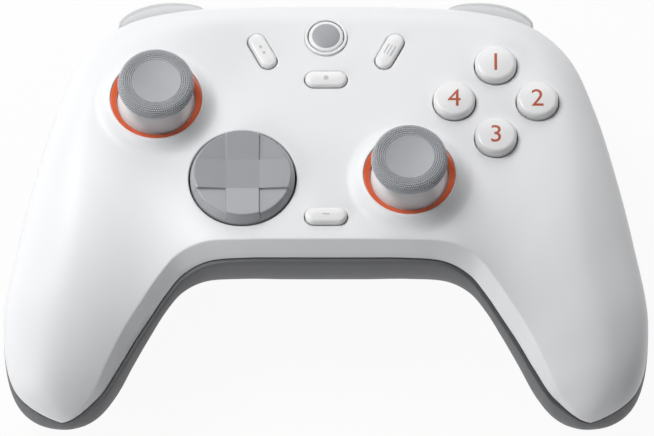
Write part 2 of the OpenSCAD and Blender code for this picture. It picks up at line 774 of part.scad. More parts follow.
// Sticks
module stick_ring(p) {
    color(orange) seat() on_face(p)
        rotate_extrude($fn = 96)
            polygon([[ring_bore, 0.65], [ring_bore + 0.15, 1], [ring_r - 0.2, ring_top],
                [ring_r, ring_top - 0.15], [ring_r, ring_seat], [ring_bore + 0.76, ring_seat]]);
}
module at_stick(p) {
    seat() on_face(p) lifted(-pivot_drop)
        children();
}
module stick_cap(p) {
    rim_mid = cap_top - cap_rim_h / 2;
    rim_under = cap_top - cap_rim_h;
    bulge = [for (a = [-90:15:90]) [cap_r - 1.3 + 1.3 * cos(a), rim_mid + cap_rim_h / 2 * sin(a)]];
    dish = [for (i = [0:4]) [dish_r * (1 - i / 4), cap_top - 0.25 - dish_depth * (1 - pow(1 - i / 4, 2))]];
    color(mid_grey) seat() on_face(p) difference() {
        rotate_extrude($fn = 96)
            polygon(concat([[0, rim_under + 0.6], [stem_top_r + 1.6, rim_under + 0.6]], bulge, dish));
        lifted(rim_under - 1)
            cylinder(r = stem_top_r + screw_gap, h = 1 + stem_bite);
    }
}
module stick_dome(p) {
    inner_r = dome_r - dome_wall;
    stem_angle = asin(stem_top_r / dome_r);
    shaft_angle = asin(shaft_stick_r / inner_r);
    stem_top = pivot_drop + cap_top - cap_rim_h + stem_bite;
    outside = [for (i = [0:10]) let (a = stem_angle + (dome_skirt - stem_angle) * i / 10)
        dome_r * [sin(a), cos(a)]];
    inside = [for (i = [10:-1:0]) let (a = shaft_angle + (dome_skirt - shaft_angle) * i / 10)
        inner_r * [sin(a), cos(a)]];
    color(pale_grey) at_stick(p) difference() {
        rotate_extrude($fn = 96)
            polygon(concat([[0, stem_top], [stem_top_r, stem_top]], outside, inside,
                [[shaft_stick_r, -shaft_under], [0, -shaft_under]]));
        for (z = [0, stick_press + 0.1])
            lifted(z)
                bar_x([-4, 4], cross_pin_r + run_gap);
        translate([-4, -cross_pin_r - run_gap, 0])
            cube([8, 2 * (cross_pin_r + run_gap), stick_press + 0.1]);
    }
}
module stick_pin(p) {
    color(steel) at_stick(p)
        bar_x([-cross_pin_l / 2, cross_pin_l / 2], cross_pin_r);
}
// Arm that turns about the upright axis of the face and carries the cross pin
module stick_arm(p) {
    color(pale_grey) at_stick(p) difference() {
        union() {
            cube(arm_frame, center = true);
            for (turn = [90, -90])
                rotate([0, 0, turn])
                    bar_x([arm_frame[1] / 2 - 1, trunnion_l], trunnion_r);
        }
        cube([arm_window[0], arm_window[1], arm_frame[2] + 2], center = true);
        bar_x([-arm_frame[0], arm_frame[0]], cross_pin_r + run_gap / 2);
    }
}
// Arched arm that turns about the axis across the face and follows the shaft in its slot
module stick_arch(p) {
    color(pale_grey) at_stick(p) union() {
        difference() {
            intersection() {
                rotate([90, 0, 0])
                    lifted(-arch_w / 2)
                        tube(arch_r[1], arch_r[0], arch_w);
                translate([-arch_r[1], -arch_w, -arch_w / 2])
                    cube([2 * arch_r[1], 2 * arch_w, arch_w / 2 + arch_r[1]]);
            }
            translate([-arch_slot[0] / 2, -arch_slot[1] / 2, 0])
                cube([arch_slot[0], arch_slot[1], arch_r[1] + 1]);
        }
        for (turn = [0, 180])
            rotate([0, 0, turn])
                bar_x([arch_r[0] + 0.4, trunnion_l], trunnion_r);
    }
}
module stick_module(p) {
    half = module_w / 2;
    color(dark_grey) at_stick(p) difference() {
        union() {
            translate([-half, -half, -module_pivot_h])
                cube([module_w, module_w, module_pivot_h + module_top]);
            for (turn = [0, -90])
                rotate([0, 0, turn])
                    translate([half, -sensor_box[1] / 2, -module_pivot_h])
                        cube(sensor_box);
        }
        difference() {
            translate([module_wall - half, module_wall - half, 1 - module_pivot_h])
                cube([module_w - 2 * module_wall, module_w - 2 * module_wall, module_pivot_h + module_top]);
            lifted(-module_pivot_h)
                cylinder(r = 2.6, h = 1 + press_switch_h);
        }
        for (turn = [0:90:270])
            rotate([0, 0, turn])
                bar_x([half - module_wall - 1, half + 0.3], trunnion_r + run_gap);
    }
}

// Direction disc
module dpad_dish() {
    low = dpad_top - tan(dpad_slope) * (dpad_top_r - dpad_arm / 2) + 0.02;
    half = dpad_arm / 2;
    translate([-half, -half, low])
        cube([dpad_arm, dpad_arm, 10]);
    for (turn = [0:90:270])
        rotate([0, 0, turn]) {
            translate([half, -half, low])
                rotate([0, -dpad_slope, 0])
                    translate([-1, 0, 0])
                        cube([20, dpad_arm, 10]);
            intersection() {
                translate([half, half, -5])
                    cube([20, 20, 20]);
                translate([half, half, low - dpad_step])
                    rotate(a = dpad_slope, v = [1, -1, 0])
                        translate([-20, -20, 0])
                            cube([60, 60, 10]);
            }
        }
}
module dpad_disc() {
    color(mid_grey) seat() on_face(dpad_at) difference() {
        union() {
            difference() {
                union() {
                    cylinder(r1 = dpad_r, r2 = dpad_top_r, h = dpad_top, $fn = 96);
                    lifted(dpad_flange[1])
                        cylinder(r = dpad_r, h = -dpad_flange[1], $fn = 96);
                    lifted(dpad_flange[1] - dpad_flange[2])
                        cylinder(r = dpad_flange[0], h = dpad_flange[2], $fn = 96);
                }
                lifted(dpad_flange[1] - 2)
                    cylinder(r = dpad_r - dpad_rim_wall, h = 2 - dpad_flange[1] - dpad_roof, $fn = 96);
            }
            lifted(dpad_pivot_z - dpad_cup_cut)
                cylinder(r = dpad_cup_r[1] + dpad_hub_wall, h = dpad_cup_cut - dpad_pivot_z - dpad_roof / 2);
            for (turn = [0:90:270])
                rotate([0, 0, turn])
                    translate([dpad_nub_at, 0, dpad_nub_under])
                        cylinder(r = dpad_nub_r, h = -dpad_nub_under - dpad_roof / 2);
        }
        dpad_dish();
        lifted(dpad_pivot_z)
            sphere(r = dpad_cup_r[1] + run_gap);
        lifted(dpad_pivot_z - 4)
            cylinder(r = dpad_cup_r[1] + run_gap, h = 4);
    }
}
module dpad_pivot() {
    color(pale_grey) seat() on_face(dpad_at) lifted(dpad_pivot_z) difference() {
        sphere(r = dpad_cup_r[1]);
        sphere(r = dpad_cup_r[0]);
        translate([-5, -5, -10 - dpad_cup_cut])
            cube([10, 10, 10]);
    }
}
module dpad_post() {
    color(pale_grey) seat() on_face(dpad_at) union() {
        lifted(dpad_pivot_z)
            sphere(r = dpad_ball_r);
        lifted(button_board_top)
            cylinder(r = dpad_post_r, h = dpad_pivot_z - button_board_top);
    }
}
module dpad_pad() {
    drop = dpad_nub_at * sin(1.5 * dpad_rock) + 0.1;
    color(rubber) seat() on_face(dpad_at) lifted(button_board_top) difference() {
        union() {
            cylinder(r = dpad_nub_at + 3, h = pad_h);
            for (turn = [0:90:270])
                rotate([0, 0, turn])
                    translate([dpad_nub_at, 0, 0])
                        cylinder(r1 = 2.8, r2 = 1.9, h = dpad_nub_under - button_board_top - drop);
        }
        lifted(-1)
            cylinder(r = dpad_post_r + 0.3, h = 5);
    }
}

// Buttons
// A round key with a rounded edge and a domed top, on its flange
module round_key(r, top, under, edge, crown) {
    fillet = [for (a = [0:15:90]) [r - edge + edge * cos(a), top - crown - edge + edge * sin(a)]];
    dome = [for (i = [3:-1:0]) let (x = (r - edge) * i / 4) [x, top - crown * pow(i / 4, 2)]];
    rotate_extrude($fn = 64)
        polygon(concat([[0, under], [r + flange_w, under], [r + flange_w, under + flange_h]],
            [[r, under + flange_h]], fillet, dome));
}
module face_button(p) {
    color(white) seat() on_face(p)
        round_key(face_r, face_top, face_under, face_edge, face_crown);
}
module face_button_pad() {
    color(rubber) seat() lifted(button_board_top) union() {
        for (p = face_places)
            on_face(p)
                cylinder(r = face_r + 1.6, h = pad_h);
        on_face(face_at)
            translate([-face_pitch / 2, -face_pitch / 2, 0])
                cube([face_pitch, face_pitch, pad_h]);
        for (p = face_places)
            on_face(p)
                cylinder(r1 = 3.2, r2 = 2.4, h = face_under - face_travel - 0.2 - button_board_top);
    }
}
module home_button() {
    color(white) seat() on_face([0, home_y]) union() {
        round_key(home_r, home_top, pill_under, 0.5, 0.3);
        lifted(-pill_stem_drop)
            cylinder(r = stem_r, h = pill_stem_drop + pill_under + 0.5);
    }
}
module home_light_ring() {
    inside = home_ring_r - home_ring_w;
    outside = home_ring_r;
    flange = outside + home_flange_w;
    under = -pill_sleeve_drop + flange_gap;
    color(white) seat() on_face([0, home_y])
        rotate_extrude($fn = 64)
            polygon([[inside, under], [flange, under], [flange, -home_sleeve_drop],
                [outside, -home_sleeve_drop], [outside, home_ring_top - edge_round],
                [outside - edge_round, home_ring_top], [inside + edge_round, home_ring_top],
                [inside, home_ring_top - edge_round]]);
}
module small_button(p) {
    color(white) seat() at_pill(p) union() {
        lifted(pill_under)
            pill(pill_w + 2 * flange_w, pill_l + 2 * flange_w, flange_h);
        lifted(pill_under)
            pill(pill_w, pill_l, pill_top - pill_edge - pill_under);
        lifted(pill_top - 1.1 * pill_edge)
            pill(pill_w - 2 * pill_edge, pill_l - 2 * pill_edge, 1.1 * pill_edge);
        lifted(-pill_stem_drop)
            cylinder(r = stem_r, h = pill_stem_drop + pill_under + 0.5);
    }
}
module button_switches() {
    base = button_board_top;
    nub_top = -pill_stem_drop - pill_travel - 0.1;
    color(black) seat() for (p = concat(pill_places, [[0, home_y, 0]]))
        at_pill(p) {
            translate([-2.25, -2.25, base])
                cube([4.5, 4.5, nub_top - base - 0.3]);
            lifted(nub_top - 0.31)
                cylinder(r = 1.1, h = 0.31);
        }
}

// Boards
module button_board() {
    color(board_green) seat() lifted(button_board_under) difference() {
        linear_extrude(button_board_h)
            polygon(button_board_edge);
        for (p = [left_stick_at, right_stick_at])
            on_face(p)
                lifted(-1)
                    cylinder(r = board_stick_cut, h = button_board_h + 2);
        both()
            on_face(case_screw_at)
                lifted(-1)
                    cylinder(r = boss_r + 0.4, h = button_board_h + 2);
        for (p = button_posts)
            on_face(p)
                lifted(-1)
                    cylinder(r = small_screw_r + screw_gap, h = button_board_h + 2);
    }
}
module main_board() {
    color(board_green) seat() lifted(main_board_under) difference() {
        linear_extrude(main_board_h)
            polygon(main_board_edge);
        both()
            on_face(case_screw_at)
                lifted(-1)
                    cylinder(r = boss_r + 0.4, h = main_board_h + 2);
        for (p = main_posts)
            on_face(p)
                lifted(-1)
                    cylinder(r = small_screw_r + screw_gap, h = main_board_h + 2);
    }
}
module board_link() {
    color(black) seat()
        translate([link_at[0], link_at[1], main_board_top])
            cube([link_size[0], link_size[1], button_board_under - main_board_top]);
}

// Bumpers
function bumper_ring(k) =
    let (p = rim(k), n = rim_normal(k), share = (k - bumper_from) / (bumper_to - bumper_from),
         proud = 0.4 + (bumper_proud - 0.4) * pow(max(0, sin(180 * share)), 0.7), low = bumper_h / 2,
         mid = -bumper_drop - low, root = -1,
         edge = concat([[-bumper_back, low], [-bumper_back, -low]],
             [for (a = [-90:18:90]) [root + (proud - root) * pow(max(0, cos(a)), 0.6),
                 low * sign(sin(a)) * pow(abs(sin(a)), 0.8)]]))
    [for (e = edge) [p[0] + n[0] * e[0], p[1] + n[1] * e[0], mid + e[1]]];
module bumper() {
    color(pale_grey) seat() difference() {
        union() {
            lofted([for (i = [12:-1:0])
                bumper_ring(bumper_from + (bumper_to - bumper_from) * (1 - cos(15 * i)) / 2)]);
            on_face(lug_at)
                lifted(lug_z[0])
                    cylinder(r = lug_r, h = lug_z[1] - lug_z[0]);
            translate([lug_at[0], lug_at[1] - 1.4, lug_z[0]])
                cube([shoulder_in + 3.4 - lug_at[0], 2.8, lug_z[1] - lug_z[0]]);
            translate([shoulder_in + 0.4, lug_at[1] - 1.4, lug_z[0]])
                cube([3, 5, lug_z[1] - lug_z[0]]);
        }
        on_face(lug_at)
            lifted(lug_z[0] - 1)
                cylinder(r = lug_pin_r + run_gap, h = lug_z[1] - lug_z[0] + 2);
    }
}

// Triggers
function trigger_ring(k, w) =
    let (p = rim(k), share = (k - bumper_from) / (bumper_to - bumper_from),
         reach = trigger_reach - 1.6 * pow(2 * share - 1, 4), top = -bumper_drop - bumper_h - 0.7,
         blade = [for (i = [0:6]) let (t = i / 6)
             [2.2 + (reach - 2.2) * (1 - pow(1 - t, 2.2)), top + (-trigger_drop - top) * pow(t, 1.25)]],
         back = [for (i = [6:-1:0]) let (t = i / 6)
             [blade[i][0] - w * (0.75 + 0.5 * (1 - t)), blade[i][1] - w * (0.15 + 0.75 * pow(1 - t, 2))]])
    [for (e = concat(blade, back)) [p[0], p[1] + e[0], e[1]]];
function trigger_rings(w) =
    [for (i = [0:9]) trigger_ring(bumper_from + (bumper_to - bumper_from) * i / 9, w)];
module trigger_arm(x) {
    translate([x, 0, 0])
        rotate([90, 0, 90])
            linear_extrude(arm_w)
                polygon([[trigger_y, trigger_z + 0.6 * hub_r], [trigger_y + 5, trigger_z + 0.1],
                    [trigger_y + 8, trigger_z - 0.8], [top_y + 1.4, trigger_z - 2.2],
                    [top_y + 5, trigger_z - 7], [top_y + 5.2, trigger_z - 11],
                    [trigger_y + arm_corner[0], trigger_z - arm_corner[1]], [trigger_y + 6, trigger_z - 4.4],
                    [trigger_y, trigger_z - 0.9 * hub_r]]);
}
module trigger() {
    color(pale_grey) seat()
        lofted(trigger_rings(trigger_wall));
}
// Carrier behind a trigger's blade, with two arms, the hub on the pin and the magnet's seat
module trigger_carrier() {
    color(pale_grey) seat() difference() {
        union() {
            for (x = arm_places)
                trigger_arm(x);
            translate([0, trigger_y, trigger_z])
                bar_x(hub_span, hub_r);
        }
        lofted(trigger_rings(trigger_wall + 2 * screw_gap));
        translate([0, trigger_y, trigger_z])
            bar_x([hub_span[0] - 1, hub_span[1] + 1], pin_r + run_gap);
        translate([0, magnet_at[0], magnet_at[1]])
            bar_x([arm_places[1] + arm_w - magnet_h, hub_span[1] + 1], magnet_r + screw_gap);
    }
}
module trigger_magnet() {
    color(steel) seat()
        translate([0, magnet_at[0], magnet_at[1]])
            bar_x([arm_places[1] + arm_w - magnet_h, arm_places[1] + arm_w], magnet_r);
}
module trigger_pins() {
    color(steel) seat() both()
        translate([0, trigger_y, trigger_z])
            bar_x([ear_in[0], ear_out[1]], pin_r);
}
// Coil round the pin, with one leg on the frame's bar and one bent under the trigger's arm
module trigger_spring() {
    coil_r = pin_r + coil_gap + wire_r;
    rise = (spring_span[1] - spring_span[0] - 2 * wire_r) / COIL_TURNS;
    start = spring_span[0] + wire_r;
    finish = spring_span[1] - wire_r;
    coil = [for (i = [0:round(COIL_STEPS * COIL_TURNS)]) let (a = 360 * i / COIL_STEPS)
        [start + rise * i / COIL_STEPS, coil_r * sin(a), coil_r * -cos(a)]];
    fixed_leg = [[start, bar_y[1] - trigger_y, -coil_r], [start, -1, -coil_r]];
    free_leg = [[finish, leg_reach - 0.6, leg_under], [arm_places[0] - 0.2, leg_reach, leg_under],
        [arm_places[0] + arm_w, leg_reach, leg_under]];
    color(steel) seat()
        translate([0, trigger_y, trigger_z])
            lofted(wire_rings(concat(fixed_leg, coil, free_leg)));
}
module trigger_sensors() {
    color(black) seat() both()
        translate([ear_out[0] - sensor_w, magnet_at[0] - sensor_half, magnet_at[1] - sensor_half])
            cube([sensor_w, 2 * sensor_half, 2 * sensor_half]);
}

// Frame that carries the triggers, the bumpers and their switches
module frame_side() {
    for (span = [ear_in, ear_out])
        translate([0, trigger_y, trigger_z])
            bar_x(span, ear_r);
    for (span = [ear_in, ear_out])
        translate([span[0], bar_y[0], trigger_z - ear_r])
            cube([span[1] - span[0], trigger_y - bar_y[0], bar_top - trigger_z + ear_r]);
    translate([ear_out[0], trigger_y, magnet_at[1] - sensor_half - sensor_edge])
        cube([ear_w, magnet_at[0] + sensor_half - trigger_y, 2 * (sensor_half + sensor_edge)]);
    translate([ear_out[0], shelf_y - 1, trigger_z])
        cube([ear_w, shelf_l + 1, shelf_z[1] - trigger_z]);
    translate([ear_out[0] - switch_w, shelf_y, shelf_z[0]])
        cube([switch_w + ear_w / 2, shelf_l, shelf_z[1] - shelf_z[0]]);
    translate([lug_at[0] - 2, bar_y[0], bar_top - lug_pad_h])
        cube([4, lug_at[1] + 2 - bar_y[0], lug_pad_h]);
    on_face(lug_at)
        lifted(bar_top - lug_pad_h)
            cylinder(r = lug_pin_r, h = lug_z[1] + 0.4 - bar_top + lug_pad_h);
}
module inner_frame() {
    color(rubber) seat() difference() {
        union() {
            translate([-ear_out[1], bar_y[0], main_board_top])
                cube([2 * ear_out[1], bar_y[1] - bar_y[0], bar_top - main_board_top]);
            both()
                frame_side();
        }
        both()
            translate([0, trigger_y, trigger_z])
                bar_x([ear_in[0] - 1, ear_out[1] + 1], pin_r + screw_gap);
    }
}
module bumper_switches() {
    front = shelf_y + shelf_l;
    nub_at = ear_out[0] - switch_w / 2;
    reach = rim_out(SWITCH_STEP, -bumper_back)[1] - (nub_at - lug_at[0]) * sin(bumper_turn) - switch_gap;
    color(black) seat() both() {
        translate([ear_out[0] - switch_w, front, shelf_z[0] + 0.5])
            cube([switch_w, switch_l, switch_h]);
        translate([nub_at, front, shelf_z[0] + 0.5 + switch_h / 2])
            rotate([-90, 0, 0])
                cylinder(r = 0.9, h = reach - front);
    }
}

// Power, rumble and fasteners
module battery_cell() {
    color(foil) seat()
        tray_box(0, tray_top, tray_top + battery_h);
}
module motor() {
    color(steel) seat() translate([0, motor_at[1], motor_at[2]]) union() {
        bar_x([motor_at[0], motor_at[0] + motor_l], motor_r);
        bar_x([weight_x, motor_at[0] + 1], shaft_r);
    }
}
module motor_weight() {
    color(steel) seat() translate([0, motor_at[1], motor_at[2]]) difference() {
        union() {
            intersection() {
                bar_x([weight_x, weight_x + weight_l], weight_r);
                translate([0, -weight_r, -weight_r])
                    cube([80, 2 * weight_r, weight_r]);
            }
            bar_x([weight_x, weight_x + weight_l], 2.4);
        }
        bar_x([weight_x - 1, weight_x + weight_l + 1], shaft_r + run_gap);
    }
}
module usb_port() {
    color(steel) seat() translate([0, usb_y + usb_l, main_board_top + usb_h / 2]) rotate([90, 0, 0]) union() {
        difference() {
            pill(usb_h, usb_w, usb_l);
            lifted(-1)
                pill(usb_h - 2 * usb_wall, usb_w - 2 * usb_wall, usb_l);
        }
        translate([-usb_w / 2 + 1.1, -0.35, 1])
            cube([usb_w - 2.2, 0.7, usb_l - 1.5]);
    }
}
module case_screw(p, seat_at, boss_under) {
    on_face(p) {
        lifted(seat_at - head_h)
            cylinder(r = head_r, h = head_h);
        lifted(seat_at - 0.5)
            cylinder(r = screw_r, h = boss_under + screw_bite - seat_at + 0.5);
    }
}
module case_screws() {
    color(steel) seat() both() {
        case_screw(case_screw_at, case_seat, case_boss_under);
        case_screw(grip_screw_at, grip_seat, grip_boss_under);
    }
}
module board_screws() {
    color(steel) seat() {
        for (p = button_posts)
            on_face(p) {
                lifted(button_board_under - small_head_h)
                    cylinder(r = small_head_r, h = small_head_h);
                lifted(button_board_under - 0.5)
                    cylinder(r = small_screw_r, h = small_screw_l + 0.5);
            }
        for (p = main_posts)
            on_face(p) {
                lifted(main_board_top)
                    cylinder(r = small_head_r, h = small_head_h);
                lifted(main_board_top - small_screw_l)
                    cylinder(r = small_screw_r, h = small_screw_l + 0.5);
            }
    }
}
module on_left() {
    mirror([1, 0, 0])
        children();
}

front_shell();
rear_shell();
stick_ring(left_stick_at);  // left_stick_ring
stick_ring(right_stick_at);  // right_stick_ring
stick_cap(left_stick_at);  // left_stick_cap
stick_cap(right_stick_at);  // right_stick_cap
stick_dome(left_stick_at);  // left_stick_dome
stick_dome(right_stick_at);  // right_stick_dome
stick_pin(left_stick_at);  // left_stick_pin
stick_pin(right_stick_at);  // right_stick_pin
stick_arm(left_stick_at);  // left_stick_arm
stick_arm(right_stick_at);  // right_stick_arm
stick_arch(left_stick_at);  // left_stick_arch
stick_arch(right_stick_at);  // right_stick_arch
stick_module(left_stick_at);  // left_stick_module
stick_module(right_stick_at);  // right_stick_module
dpad_disc();
dpad_pivot();
dpad_post();
dpad_pad();
face_button(face_top_at);  // face_button_top
face_button(face_left_at);  // face_button_left
face_button(face_right_at);  // face_button_right
face_button(face_bottom_at);  // face_button_bottom
face_button_pad();
home_button();
home_light_ring();
small_button(view_at);  // view_button
small_button(menu_at);  // menu_button
small_button(capture_at);  // capture_button
small_button(mode_at);  // mode_button
button_switches();
button_board();
main_board();
board_link();
on_left() bumper();  // left_bumper
bumper();  // right_bumper
bumper_switches();
on_left() trigger();  // left_trigger
trigger();  // right_trigger
on_left() trigger_carrier();  // left_trigger_carrier
trigger_carrier();  // right_trigger_carrier
on_left() trigger_magnet();  // left_trigger_magnet
trigger_magnet();  // right_trigger_magnet
on_left() trigger_spring();  // left_trigger_spring
trigger_spring();  // right_trigger_spring
trigger_pins();
trigger_sensors();
inner_frame();
battery_cell();
on_left() motor();  // left_motor
motor();  // right_motor
on_left() motor_weight();  // left_motor_weight
motor_weight();  // right_motor_weight
usb_port();
case_screws();
board_screws();
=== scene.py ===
"""Looks of a game controller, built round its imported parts.

Shapes are worked out in millimetres in the frame of the controller's face: x to the right, y towards the
bumpers and z up from the face. seated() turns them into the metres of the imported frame.
"""

import json
import math

import bmesh
import bpy
import numpy as np
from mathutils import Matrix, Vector
from mathutils.geometry import delaunay_2d_cdt

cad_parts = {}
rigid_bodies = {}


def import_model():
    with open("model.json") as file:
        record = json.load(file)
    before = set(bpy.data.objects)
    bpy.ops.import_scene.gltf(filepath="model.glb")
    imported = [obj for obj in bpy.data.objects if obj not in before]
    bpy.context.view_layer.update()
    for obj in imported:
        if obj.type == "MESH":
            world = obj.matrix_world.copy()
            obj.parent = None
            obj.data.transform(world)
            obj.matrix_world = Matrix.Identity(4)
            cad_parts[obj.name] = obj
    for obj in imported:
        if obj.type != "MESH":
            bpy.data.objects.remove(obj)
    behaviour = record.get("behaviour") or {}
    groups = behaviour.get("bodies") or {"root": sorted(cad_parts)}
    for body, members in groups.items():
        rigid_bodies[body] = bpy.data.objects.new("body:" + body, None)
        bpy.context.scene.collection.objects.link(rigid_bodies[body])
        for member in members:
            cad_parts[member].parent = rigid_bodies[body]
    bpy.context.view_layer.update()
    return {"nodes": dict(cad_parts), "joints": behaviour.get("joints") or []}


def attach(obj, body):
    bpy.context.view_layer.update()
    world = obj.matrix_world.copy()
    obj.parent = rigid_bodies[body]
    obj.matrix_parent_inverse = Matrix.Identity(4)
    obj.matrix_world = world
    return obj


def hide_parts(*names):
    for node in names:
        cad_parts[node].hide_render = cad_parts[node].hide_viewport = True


bl_info = {
    "name": "Game controller looks",
    "version": (1, 0, 0),
    "blender": (4, 5, 0),
    "location": "View3D > Sidebar > Controller",
    "description": "Builds the casing, sticks, disc, buttons and shoulder keys round the packed parts",
    "category": "Object",
}

for leftover in list(bpy.data.objects):
    bpy.data.objects.remove(leftover)
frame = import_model()

# Sizes of the casing
TOP_Y = 39.5
HALF_W = 77.3
ARCH_Y = 29.4
TIP_X, TIP_Y = 63.5, 61.3
ARCH_DROP = 5.6
EDGE_DROP = 6.0
TIP_DROP = 29.5
HUMP_DROP = 38.6
HUMP_SHARE = 0.33
GRIP_Y = -45.2
FOOT_CUT = 0.35
WALL = 2.0
PART_GAP = 0.35
LEDGE = 0.9
ROUNDNESS = 2.4
LEVEL_SHARE = 0.32
FRONT_EDGE_ROUND, REAR_EDGE_ROUND = 0.2, 0.35
TIP = 10
# Places on the face
HOME_AT = (0.0, 28.6)
STICKS = {"left": (-40.8, 10.6), "right": (20.0, -10.4)}
DISC_AT = (-20.0, -10.4)
KEYS_AT = (40.8, 10.6)
KEY_PITCH = 10.0
# Steps from the middle of the group, and the number on each face button
KEYS = {
    "face_button_top": (0, 1, "1"),
    "face_button_right": (1, 0, "2"),
    "face_button_bottom": (0, -1, "3"),
    "face_button_left": (-1, 0, "4"),
}
# Place and turn of each small button
PILLS = {
    "view_button": (-15.3, 24.6, 117.0),
    "menu_button": (15.3, 24.6, 63.0),
    "capture_button": (0.0, 16.8, 0.0),
    "mode_button": (0.0, -21.0, 0.0),
}
# Length, width, arc steps and places of the bars or dots on each small button
MARKS = {
    "view_button": (0.75, 0.75, 12, ((-0.91, 0), (0.91, 0))),
    "menu_button": (3.0, 0.28, 6, ((0, -0.85), (0, 0), (0, 0.85))),
    "capture_button": (1.2, 1.2, 14, ((0, 0),)),
    "mode_button": (1.8, 0.34, 6, ((0, 0),)),
}
# Sticks
CAP_R, CAP_TOP, CAP_RIM_H, CAP_BULGE = 9.0, 10.4, 4.2, 1.3
CAP_HOLLOW, CAP_HOLLOW_W = 0.6, 1.6
# DISH_SHADE is the share of the knurls' painted shade that darkens the dish.
DISH_R, DISH_DEPTH, DISH_DROP, DISH_SHADE = 5.8, 0.8, 0.25, 0.68
DISH_EDGE = 0.3
KNURL_W, KNURL_MARGIN = 0.33, 0.25
STEM_R, STEM_BITE = 4.0, 1.4
RING_R, RING_BORE, RING_TOP, RING_SEAT = 11.05, 9.5, 1.55, 0.05
RING_LIP, RING_LIP_Z, RING_FOOT = 0.18, 1.0, 0.76
COLLAR_W = 4.3
COLLAR_SLOPE = 0.86 * COLLAR_W
COLLAR_TOP = RING_TOP + 0.3
PIVOT_DROP, DOME_R, DOME_WALL, DOME_ROOM = 10.0, 13.9, 0.9, 14.35
DOME_SKIRT = 66.0
SOCKET_R, SOCKET_DROP = 2.0, 3.0
FIT = 0.05
# Buttons
KEY_R, KEY_TOP, KEY_EDGE, KEY_CROWN = 5.0, 2.2, 1.1, 0.25
PILL_W, PILL_L, PILL_TOP, PILL_EDGE, PILL_CROWN = 4.2, 10.0, 1.0, 0.75, 0.12
PILL_REACH = (PILL_L - PILL_W) / 2
HOME_R, HOME_TOP, HOME_EDGE, HOME_CROWN = 4.2, 0.9, 0.5, 0.3
HOME_DISC_R, HOME_DISC_DEEP = 3.35, 0.5
HOME_RING_R, HOME_RING_W, HOME_RING_TOP = 5.1, 0.65, 0.5
HOME_RING_EDGE, HOME_RING_FLANGE = 0.18, 0.8
BUTTON_GAP = 0.25
SLEEVE_WALL, SLEEVE_START, SLEEVE_EDGE = 1.2, 1.6, 0.2
SLEEVE_DROP, PILL_SLEEVE_DROP, HOME_SLEEVE_DROP = 5.6, 4.0, 2.9
FLANGE_W, FLANGE_H, FLANGE_GAP = 1.2, 1.2, 0.1
PEG_R, PEG_DROP, PEG_BITE = 1.3, 7.0, 0.4
MARK_PROUD, PILL_MARK_PROUD, MARK_DEEP = 0.04, 0.03, 0.2
# Direction disc
DISC_R, DISC_TOP_R, DISC_TOP, DISC_ARM = 12.6, 11.75, 2.45, 8.0
DISC_SLOPE, DISC_STEP, DISC_GAP = 5.0, 0.45, 0.4
DISC_CHAMFER, DISC_RAMP, DISC_RISE = 0.3, 0.1, 0.02
DISC_WALL, DISC_UNDER, DISC_ROOT = 1.4, -1.2, -1.0
DISC_FLANGE_R, DISC_FLANGE_TOP, DISC_FLANGE_LOW = 13.7, -5.0, -5.9
PLUNGER_AT, PLUNGER_R, PLUNGER_LOW = 8.5, 1.6, -7.0
HUB_R, HUB_BORE, HUB_LOW = 3.6, 2.28, -2.7
# Shoulder keys
SHOULDER_IN, SHOULDER_OUT, SHOULDER_Y = 28.3, 50.6, 24.0
SHOULDERS = ((-SHOULDER_OUT, -SHOULDER_IN), (SHOULDER_IN, SHOULDER_OUT))
SHOULDER_LIP, SHOULDER_FLOOR = -3.6, -27.0
BUMPER_FROM, BUMPER_TO = 1.66, 3.06
BUMPER_PROUD, BUMPER_H, BUMPER_DROP, BUMPER_BACK = 4.1, 8.6, 4.0, 3.9
BUMPER_END, BUMPER_ROOT = 0.4, -1.0
LUG_AT, LUG_R, LUG_BORE, LUG_Z = (26.5, 32.5), 2.8, 1.28, (-11.0, -6.0)
LUG_HALF, LUG_END, LUG_FOOT, LUG_FOOT_Y = 1.4, 3.4, 0.4, 3.6
TRIGGER_DROP, TRIGGER_REACH, TRIGGER_WALL = 28.0, 9.4, 2.4
TRIGGER_GAP, TRIGGER_START, TRIGGER_FALL, TRIGGER_SOFT = 0.7, 2.2, 1.6, 0.5
# Place, seat, top of the boss and start of the well of each pair of case screws
SCREWS = (
    ((22.4, 16.5), -30.0, -22.0, -37.0),
    ((62.5, -46.0), -36.0, -24.0, -43.0),
)
HEAD_R, HEAD_H, SCREW_R = 2.5, 1.8, 1.3
THREAD_TURNS, THREAD_PITCH, THREAD_START, THREAD_DEEP = 9, 1.6, 0.6, 0.25
RECESS_L, RECESS_W, RECESS_DEEP = 1.5, 0.32, 0.9
HOLE_R, TUBE_R = 2.8, 4.0
# Slot of the charging socket
USB_W, USB_H, USB_ROOM, USB_Z = 8.94, 3.2, 0.5, -14.8
USB_FROM, USB_TO = TOP_Y - 7, TOP_Y + 5
# How far a cutting shape runs past what it cuts
PAST = 1.0
FAR = 60.0

TILT = math.radians(7.5)
COS_TILT, SIN_TILT = math.cos(TILT), math.sin(TILT)
HUMP_Y = TOP_Y - HUMP_SHARE * (TOP_Y + ARCH_Y + LEDGE)
SEAT_Z = COS_TILT * HUMP_DROP + SIN_TILT * HUMP_Y
GRIP_DROP = (SEAT_Z - SIN_TILT * GRIP_Y) / COS_TILT + FOOT_CUT
HOME_PLACE = next(j["pos_m"] for j in frame["joints"] if j["name"] == "home_button_press")
SEAT_Y = 1000 * HOME_PLACE[1] - COS_TILT * HOME_AT[1]

